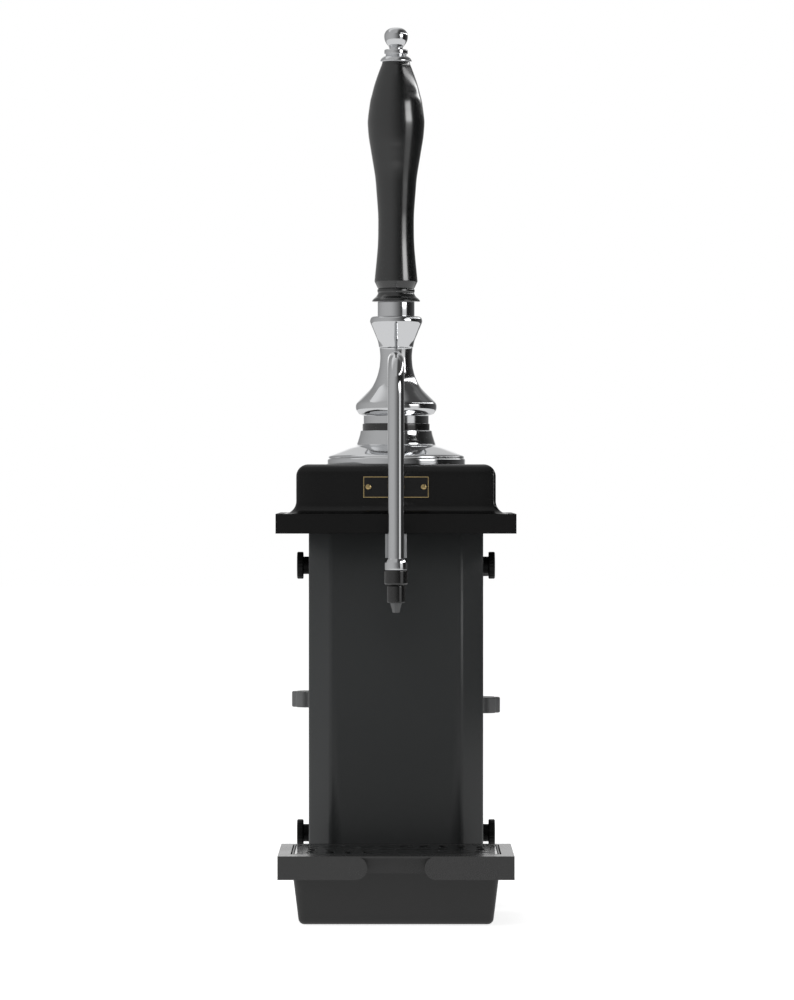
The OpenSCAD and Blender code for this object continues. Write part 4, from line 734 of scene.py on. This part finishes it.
class HANDPUMP_OT_column(bpy.types.Operator):
    """Make the column's bent sheet cover and dress the frame inside it"""

    bl_idname = "handpump.column"
    bl_label = "Column"

    def execute(self, context):
        low_z, high_z = low("column_cover"), high("column_cover")
        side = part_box("column_cover")[1].x / MM
        back, bend = 0.046, settings().sizes.sheet_bend

        def outline(inset):
            """Half width, front and corner of the bent sheet, drawn in by inset."""
            half, front = side - inset, 64 - inset
            corner = 20 - 0.4142 * inset * 2 + inset
            return np.array([[half, back / MM], [half, corner - front], [half - corner, -front],
                             [corner - half, -front], [-half, corner - front],
                             [-half, back / MM]]) * MM

        outer = eased(outline(0), bend, 9, closed=False)
        inner = eased(outline(1.5), bend * 0.6, 9, closed=False)[::-1]
        wall = np.vstack([outer, inner])[::-1]
        e = 0.0003
        rings = []
        for z, shrink in ((low_z, e), (low_z + e, 0), (high_z - e, 0), (high_z, e)):
            rings.append(np.column_stack([self.inset(wall, shrink), np.full(len(wall), z)]))
        cover = lofted("bent_cover", np.stack(rings), sharp=50)
        cuts = [bar_along_x(f"cut_{i}", circle_yz(THUMB_Y, z, 0.0033, 40), -0.1, 0.1)
                for i, z in enumerate(sorted(THUMB_Z.values()))]
        bolt = [[0, -0.01], [0.0031, -0.01], [0.0031, 0.01], [0, 0.01]]
        cuts += [turned(f"cut_bolt_{s}", bolt, (s * 0.045, -0.063, 0.0535), "Y", 40)
                 for s in (-1, 1)]
        carve(cover, cuts, 50)
        finish_piece(cover, "sheet", "frame", "column_paint", "column_cover")
        eased_copy("back_frame", "bent_frame", 0.0004, 2, "sheet", "column_paint")
        return {"FINISHED"}

    def inset(self, outline, d):
        """Each point moves inwards by d along the mean of its sides' normals, (n1 + n2) d over
        (1 + n1.n2)."""
        if d == 0:
            return outline
        ahead = np.roll(outline, -1, 0) - outline
        ahead /= np.maximum(np.linalg.norm(ahead, axis=1, keepdims=True), 1e-12)
        n1 = np.stack([-ahead[:, 1], ahead[:, 0]], 1)
        n0 = np.roll(n1, 1, 0)
        return outline + (n0 + n1) * d / np.maximum(1 + (n0 * n1).sum(1, keepdims=True), 0.3)


class HANDPUMP_OT_thumb_screws(bpy.types.Operator):
    """Make the four thumb screws on the column's sides"""

    bl_idname = "handpump.thumb_screws"
    bl_label = "Thumb screws"

    def execute(self, context):
        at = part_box("column_cover")[1].x
        far = (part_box("thumb_screw_right_upper")[1].x - at) / MM
        hub = far - 5.9
        line = eased([[0, -10.5], [3, -10.5], [3, 0], [8.15, 0], [8.15, hub], [12, hub],
                      [12.6, hub + 0.6], [12.6, far - 0.8], [11.8, far], [0, far]], 0.45,
                     closed=False)

        def grips(u, h):
            """Shallow grips round the disc: 1 - 0.01 (1 + cos 24u) where h is past the hub."""
            return 1 - 0.01 * (1 + np.cos(24 * u)) * (h > (hub + 0.2) * MM)

        for side, word in ((-1, "left"), (1, "right")):
            for place, z in THUMB_Z.items():
                made = turned(f"thumb_{word}_{place}", line * MM, (side * at, THUMB_Y, z),
                              axis="X" if side > 0 else "-X", segments=144, wave=grips)
                finish_piece(made, "thumb", f"thumb_screw_{word}_{place}", "thumb_black",
                             f"thumb_screw_{word}_{place}")
        return {"FINISHED"}


class HANDPUMP_OT_drip_tray(bpy.types.Operator):
    """Make the tray holder, the lift-out basin and its grille"""

    bl_idname = "handpump.drip_tray"
    bl_label = "Drip tray"

    def execute(self, context):
        edge = settings().sizes.moulding_edge
        eased_copy("tray_holder", "holder_frame", edge, 3, "tray", "tray_plastic")
        self.basin()
        eased_copy("drip_grille", "leaf_grille", edge * 1.5, 3, "grille", "tray_plastic", "grille")
        coat(NODES["holder_screws"], "thumb")
        return {"FINISHED"}

    def basin(self):
        """Rings up the outside, over the rim, down to the grille's ledge and into the basin. The
        bottom edge is a quarter turn: inset r(1 - sin a), height r(1 - cos a)."""
        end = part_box("drip_basin")
        x, y, foot, r, lean = end[1].x / MM, (end[1].y - end[0].y) / 2 / MM, end[0].z / MM, 5.5, 5.4
        bx, by = x - 0.2, y - 3
        a = np.linspace(0, np.pi / 2, 8)
        levels = [(bx - lean - r * (1 - s), by - lean - r * (1 - s), 0.4 + r * s,
                   foot + r * (1 - c)) for s, c in zip(np.sin(a), np.cos(a))]
        levels += [(bx - lean * (1 - t), by - lean * (1 - t), r + 4.5 * t,
                    foot + r + (49 - foot - r) * t) for t in np.linspace(0.1, 1, 6)]
        levels += [(x - 0.4, y - 0.4, 1.0, 49.0), (x, y, 1.2, 49.4), (x, y, 1.2, 63.6),
                   (x - 0.4, y - 0.4, 1.0, 64), (x - 1.8, y - 1.8, 0.8, 64),
                   (x - 2.2, y - 2.2, 0.7, 63.6), (x - 2.2, y - 2.2, 0.7, 60.01),
                   (x - 3.8, y - 6.8, 8, 60), (x - 4.1, y - 7.1, 8, 59.4)]
        ix, iy, floor, q = x - 3.8, y - 5.2, foot + 2.5, r - 2
        levels += [(ix - lean * t, iy - lean * t, 8, 59 - (59 - floor - q) * t)
                   for t in np.linspace(0.05, 1, 6)]
        levels += [(ix - lean - q * (1 - c), iy - lean - q * (1 - c), 8 - 5 * s, floor + q - q * s)
                   for s, c in zip(np.sin(a[1:]), np.cos(a[1:]))]
        basin = lofted("moulded_basin", level_rings(levels, (0, -138), 8, 6) * MM, sharp=48)
        finish_piece(basin, "basin", "basin", "tray_plastic", "drip_basin")


class HANDPUMP_OT_bar_clamp(bpy.types.Operator):
    """Make the bar clamp: bracket, two threaded screws, their fluted knobs and rubber pads"""

    bl_idname = "handpump.bar_clamp"
    bl_label = "Bar clamp"

    def execute(self, context):
        eased_copy("clamp_bracket", "clamp_arms", 0.0008, 2, "sheet", "column_paint")
        for side, word in ((-1, "left"), (1, "right")):
            middle = low(f"clamp_knob_{word}") + 0.0073
            at = (side * 0.0735, 0.085)
            self.screw(word, at, middle)
            self.knob(word, at, middle)
            pad = eased([[0, 5], [4.55, 5], [4.55, 0], [16, 0], [16, 8], [0, 8]], 0.9,
                        closed=False)
            made = turned(f"rubber_pad_{word}", pad * MM, (*at, low(f"clamp_pad_{word}")),
                          segments=80)
            finish_piece(made, "rubber", f"pad_{word}", "rubber", f"clamp_pad_{word}")
        return {"FINISHED"}

    def screw(self, word, at, middle):
        """A two-start thread on a rod: r = 6 mm less the depth times a rounded wave of
        z / 3 mm - u / pi, with a plain tip."""
        end = (high(f"clamp_screw_{word}") - middle) / MM
        shoulder = end - 5
        z = np.arange(0, shoulder, 0.35)
        u = np.arange(48) * 2 * np.pi / 48
        phase = 2 * np.pi * z[:, None] / 6 * 2 - 2 * u[None, :]
        fade = np.clip(np.minimum(z - 9, shoulder - 1 - z) / 1.5, 0, 1)[:, None]
        cut = settings().sizes.thread / MM * np.clip(0.5 - 0.9 * np.sin(phase), 0, 1) * fade
        r = 6 - cut
        ring = np.stack([r * np.cos(u), r * np.sin(u), np.repeat(z[:, None], 48, 1)], -1)
        flat = np.stack([np.cos(u), np.sin(u), 0 * u], -1)
        tip = np.stack([4.5 * flat + [0, 0, shoulder], 4.5 * flat + [0, 0, end - 0.4],
                        4.1 * flat + [0, 0, end]])
        rings = np.concatenate([ring, tip]) * MM + [at[0], at[1], middle]
        made = lofted(f"threaded_rod_{word}", rings, sharp=60)
        finish_piece(made, "steel", f"screw_{word}", "steel", f"clamp_screw_{word}")

    def knob(self, word, at, middle):
        """A disc with eight flutes: at angle a from a flute's middle the radius is
        d cos a - sqrt(s^2 - d^2 sin^2 a), with d = 28.5 and s = 6, or 25 where that is less."""
        u = np.arange(320) * 2 * np.pi / 320
        a = (u % (np.pi / 4)) - np.pi / 8
        inside = np.maximum(36 - (28.5 * np.sin(a)) ** 2, 0)
        flute = np.where(inside > 0, 28.5 * np.cos(a) - np.sqrt(inside), 25.0)
        r = np.minimum(25.0, flute)
        soft = np.stack([np.roll(r, k) for k in range(-3, 4)]).mean(0)
        b = np.linspace(0, np.pi / 2, 5)
        rise = [(soft - 1.2 * (1 - math.cos(t)), 6.1 + 1.2 * math.sin(t)) for t in b]
        rings = [(soft * 0 + 6.0, -7.3), (soft * 0 + 12.0, -7.3)]
        rings += [(s, -h) for s, h in rise[::-1]] + rise
        rings += [(soft * 0 + 11.0, 7.3), (soft * 0 + 9.0, 6.3), (soft * 0 + 6.02, 6.3)]
        skin = np.stack([np.stack([s * np.cos(u), s * np.sin(u), np.full(320, h)], -1)
                         for s, h in rings]) * MM + [at[0], at[1], middle]
        made = lofted(f"fluted_knob_{word}", skin, sharp=45)
        finish_piece(made, "knob", f"screw_{word}", "grey_plastic", f"clamp_knob_{word}")


class HANDPUMP_OT_works(bpy.types.Operator):
    """Give the plates and the pump's inner pieces their finishes"""

    bl_idname = "handpump.works"
    bl_label = "Pump and plates"

    def execute(self, context):
        plan = {
            "rubber": ("foot_pad", "piston_seal", "piston_valve", "foot_valve"),
            "cast": ("cylinder_top_cap", "cylinder_bottom_cap"),
            "brass": ("gland_nut", "inlet_fitting"),
            "copper": ("delivery_pipe",),
            "nylon": ("piston",),
            "steel": ("base_plate", "top_plate", "pillar_studs", "pivot_fork", "pivot_pin",
                      "crank_pin", "handle_stud", "pull_rod", "rocker_beam", "rocker_bracket",
                      "cylinder_tube", "tie_rods", "piston_rod"),
        }
        for kind, names in plan.items():
            for name in names:
                coat(NODES[name], kind)
        return {"FINISHED"}


# --- Stage ---


class HANDPUMP_OT_stage(bpy.types.Operator):
    """Make the pale floor, the drum of soft panels, the lamps, the world and the camera"""

    bl_idname = "handpump.stage"
    bl_label = "Stage"

    def execute(self, context):
        scene = context.scene
        stage = settings().stage
        scene.view_settings.view_transform = "Standard"
        self.floor()
        self.drum()
        self.world(stage.soft)
        self.lamp("lamp_key", (-3.0, -0.9, 0.7), 1.6, stage.key)
        self.lamp("lamp_fill", (3.0, -0.8, 0.2), 1.6, stage.fill)
        self.lamp("lamp_top", (-0.8, -1.2, 3.0), 2.0, stage.top)
        lens = bpy.data.cameras.new("camera")
        lens.lens, lens.sensor_width = stage.lens, 36.0
        lens.shift_x, lens.shift_y = 0.001, -0.023
        lens.clip_end = 60
        camera = bpy.data.objects.new("camera", lens)
        camera.location = (0, -stage.distance, stage.eye)
        camera.rotation_euler = (math.pi / 2, 0, 0)
        scene.collection.objects.link(camera)
        scene.camera = camera
        return {"FINISHED"}

    def lamp(self, name, place, size, share):
        """A square lamp aimed at the column. A share of 1 lights a white face as written:
        power = share pi^2 d^2."""
        data = bpy.data.lights.new(name, "AREA")
        data.shape, data.size = "SQUARE", size
        spot = np.array(place) - [0, 0, 0.35]
        data.energy = share * math.pi**2 * float(spot @ spot)
        made = bpy.data.objects.new(name, data)
        made.location = place
        aim = -spot / np.linalg.norm(spot)
        yaw = math.atan2(aim[1], aim[0]) - math.pi / 2
        made.rotation_euler = (math.acos(-aim[2]), 0, yaw)
        made.visible_glossy = False
        bpy.context.scene.collection.objects.link(made)

    def drum(self):
        """A closed drum round the object, 2.5 m in radius and for mirrors alone. Each panel on
        its wall rises and falls smoothly over azimuth a, clockwise from the front seen from
        above, and over height z. The lid runs from grey in front to white at the back."""
        radius = 2.5
        a, z = np.meshgrid(np.linspace(-180, 180, 289), np.linspace(-0.4, 3.2, 91))

        def panel(level, turn, height, lean):
            """level f(a) g(z + lean (a - 63)), with f and g rising over the first pair and
            falling over the second; the wall is read twice, so that panels pass the back."""
            up = z + lean * (a - 63)
            share = sum(self.ramp(b, turn[0], turn[1]) * self.ramp(b, turn[3], turn[2])
                        for b in (a, a - 360, a + 360))
            return level * share * self.ramp(up, height[0], height[1]) * self.ramp(
                up, height[3], height[2])

        wall = np.full_like(a, 0.013)
        for level, turn, height, lean in (
            (0.4, (-280, -60, -40, 50), (-2, -1, 9, 10), 0),  # grey left side
            (0.65, (37, 44, 63, 73), (-0.2, 0.2, 1.55, 1.8), 0),  # strip in front, right
            (4.5, (38, 44, 62, 71), (0.55, 1.1, 1.55, 1.8), 0),  # its bright upper part
            (4.2, (52, 62, 138, 150), (2.7, 2.78, 2.96, 3.04), 0.0194),  # slanted line, high right
            (0.45, (166, 176, 196, 208), (-2, -1, 0.9, 1.4), 0),  # low panel at the back
            (0.4, (150, 170, 196, 208), (-2, -1, 9, 10), 0),  # tall panel at the back
            (0.05, (60, 80, 140, 150), (1.9, 2.4, 9, 10), 0),  # faint one, upper right
        ):
            wall += panel(level, turn, height, lean)
        turn = np.radians(a)
        points = np.stack([radius * np.sin(turn), -radius * np.cos(turn), z], -1).reshape(-1, 3)
        made = add_mesh("studio_drum", points, grid_faces(*a.shape, close_columns=False).tolist())
        self.glow(made, wall.ravel())
        x, y = np.meshgrid(*[np.linspace(-radius, radius, 61)] * 2)
        lid = 0.4 + 0.3 * self.ramp(y - 0.5 * x, 0.2, 1.8) - 0.34 * self.ramp(x, 0.1, 1.1)
        made = add_mesh("studio_lid", np.stack([x, y, 0 * x + 3.19], -1).reshape(-1, 3),
                        grid_faces(*x.shape, close_columns=False).tolist())
        self.glow(made, lid.ravel())

    def ramp(self, x, start, end):
        """t^2 (3 - 2t) of the clipped way t from start to end."""
        t = np.clip((x - start) / (end - start), 0, 1)
        return t * t * (3 - 2 * t)

    def glow(self, made, levels):
        """Makes a skin glow by a level for each vertex, for mirrors alone."""
        levels = np.asarray(levels, np.float32)
        made.data.attributes.new("light", "FLOAT", "POINT").data.foreach_set("value", levels)
        material, tree = with_nodes(bpy.data.materials, made.name)
        tree.nodes.remove(tree.nodes["Principled BSDF"])
        light = node(tree, "Attribute", attribute_name="light")["Fac"]
        shown = node(tree, "Emission", {"Color": (1, 1, 1, 1), "Strength": light})[0]
        feed(tree.nodes["Material Output"], {"Surface": shown})
        made.data.materials.append(material)
        made.visible_camera = made.visible_diffuse = made.visible_shadow = False
        made.visible_transmission = False

    def floor(self):
        """A pale disc. The camera sees white less the object's shadow, and mirrors see pale
        grey."""
        u = np.arange(96) * 2 * np.pi / 96
        points = np.column_stack([14 * np.cos(u), 14 * np.sin(u), np.full(96, -0.0002)])
        made = add_mesh("floor", points, [list(range(96))])
        material, tree = with_nodes(bpy.data.materials, "pale_floor")
        shader = tree.nodes["Principled BSDF"]
        feed(shader, {"Base Color": (0.8, 0.8, 0.8, 1), "Roughness": 0.9,
                      "Specular IOR Level": 0.0})
        rays = node(tree, "LightPath")
        pale, table, mirror = (node(tree, "Emission", {"Strength": strength})[0]
                               for strength in (0.8, settings().stage.table, 0.68))
        lit, white = (node(tree, "AddShader", {0: shader.outputs[0], 1: more})[0]
                      for more in (table, pale))
        seen = node(tree, "MixShader", {"Fac": rays["Is Camera Ray"], 1: lit, 2: white})[0]
        either = self.any_ray(tree, rays, "Is Glossy Ray", "Is Transmission Ray")
        shown = node(tree, "MixShader", {"Fac": either, 1: seen, 2: mirror})[0]
        feed(tree.nodes["Material Output"], {"Surface": shown})
        made.data.materials.append(material)

    def world(self, soft):
        """White to the camera and mirrors, and a plain even light on matt faces."""
        world, tree = with_nodes(bpy.data.worlds, "studio")
        bpy.context.scene.world = world
        rays = node(tree, "LightPath")
        back = tree.nodes["Background"]
        feed(back, {"Color": (1, 1, 1, 1), "Strength": soft})
        white = node(tree, "Background", {"Color": (1, 1, 1, 1), "Strength": 1.0})[0]
        either = self.any_ray(tree, rays, "Is Camera Ray", "Is Glossy Ray", "Is Transmission Ray")
        pick = node(tree, "MixShader", {"Fac": either, 1: back.outputs[0], 2: white})[0]
        feed(tree.nodes["World Output"], {"Surface": pick})

    def any_ray(self, tree, rays, *kinds):
        """1 for a ray of any of the kinds: the greatest of the light path's outputs."""
        most = rays[kinds[0]]
        for kind in kinds[1:]:
            most = node(tree, "Math", {0: most, 1: rays[kind]}, operation="MAXIMUM")[0]
        return most


# --- Add-on ---


PIECES = (HANDPUMP_OT_handle, HANDPUMP_OT_pillar, HANDPUMP_OT_swan_neck, HANDPUMP_OT_sparkler,
          HANDPUMP_OT_casing, HANDPUMP_OT_name_plate, HANDPUMP_OT_column,
          HANDPUMP_OT_thumb_screws, HANDPUMP_OT_drip_tray, HANDPUMP_OT_bar_clamp,
          HANDPUMP_OT_works, HANDPUMP_OT_stage)


class HANDPUMP_PT_panel(bpy.types.Panel):
    """Lists the pieces of the hand pump and their settings"""

    bl_idname = "HANDPUMP_PT_panel"
    bl_label = "Hand pump"
    bl_space_type = "VIEW_3D"
    bl_region_type = "UI"
    bl_category = "Hand pump"

    def draw(self, context):
        pump = context.scene.hand_pump
        for piece in PIECES:
            self.layout.operator(piece.bl_idname)
        for title, group in (("Finishes", pump.finishes), ("Sizes", pump.sizes),
                             ("Stage", pump.stage)):
            box = self.layout.box()
            box.label(text=title)
            for key in group.__annotations__:
                box.prop(group, key)


CLASSES = (HandPumpFinishes, HandPumpSizes, HandPumpStage, HandPumpSettings, *PIECES,
           HANDPUMP_PT_panel)


def register():
    for cls in CLASSES:
        bpy.utils.register_class(cls)
    bpy.types.Scene.hand_pump = bpy.props.PointerProperty(type=HandPumpSettings)


def unregister():
    del bpy.types.Scene.hand_pump
    for cls in reversed(CLASSES):
        bpy.utils.unregister_class(cls)


def main():
    register()
    for piece in PIECES:
        group, name = piece.bl_idname.split(".")
        getattr(getattr(bpy.ops, group), name)()
    bpy.context.view_layer.update()


if __name__ == "__main__":
    main()
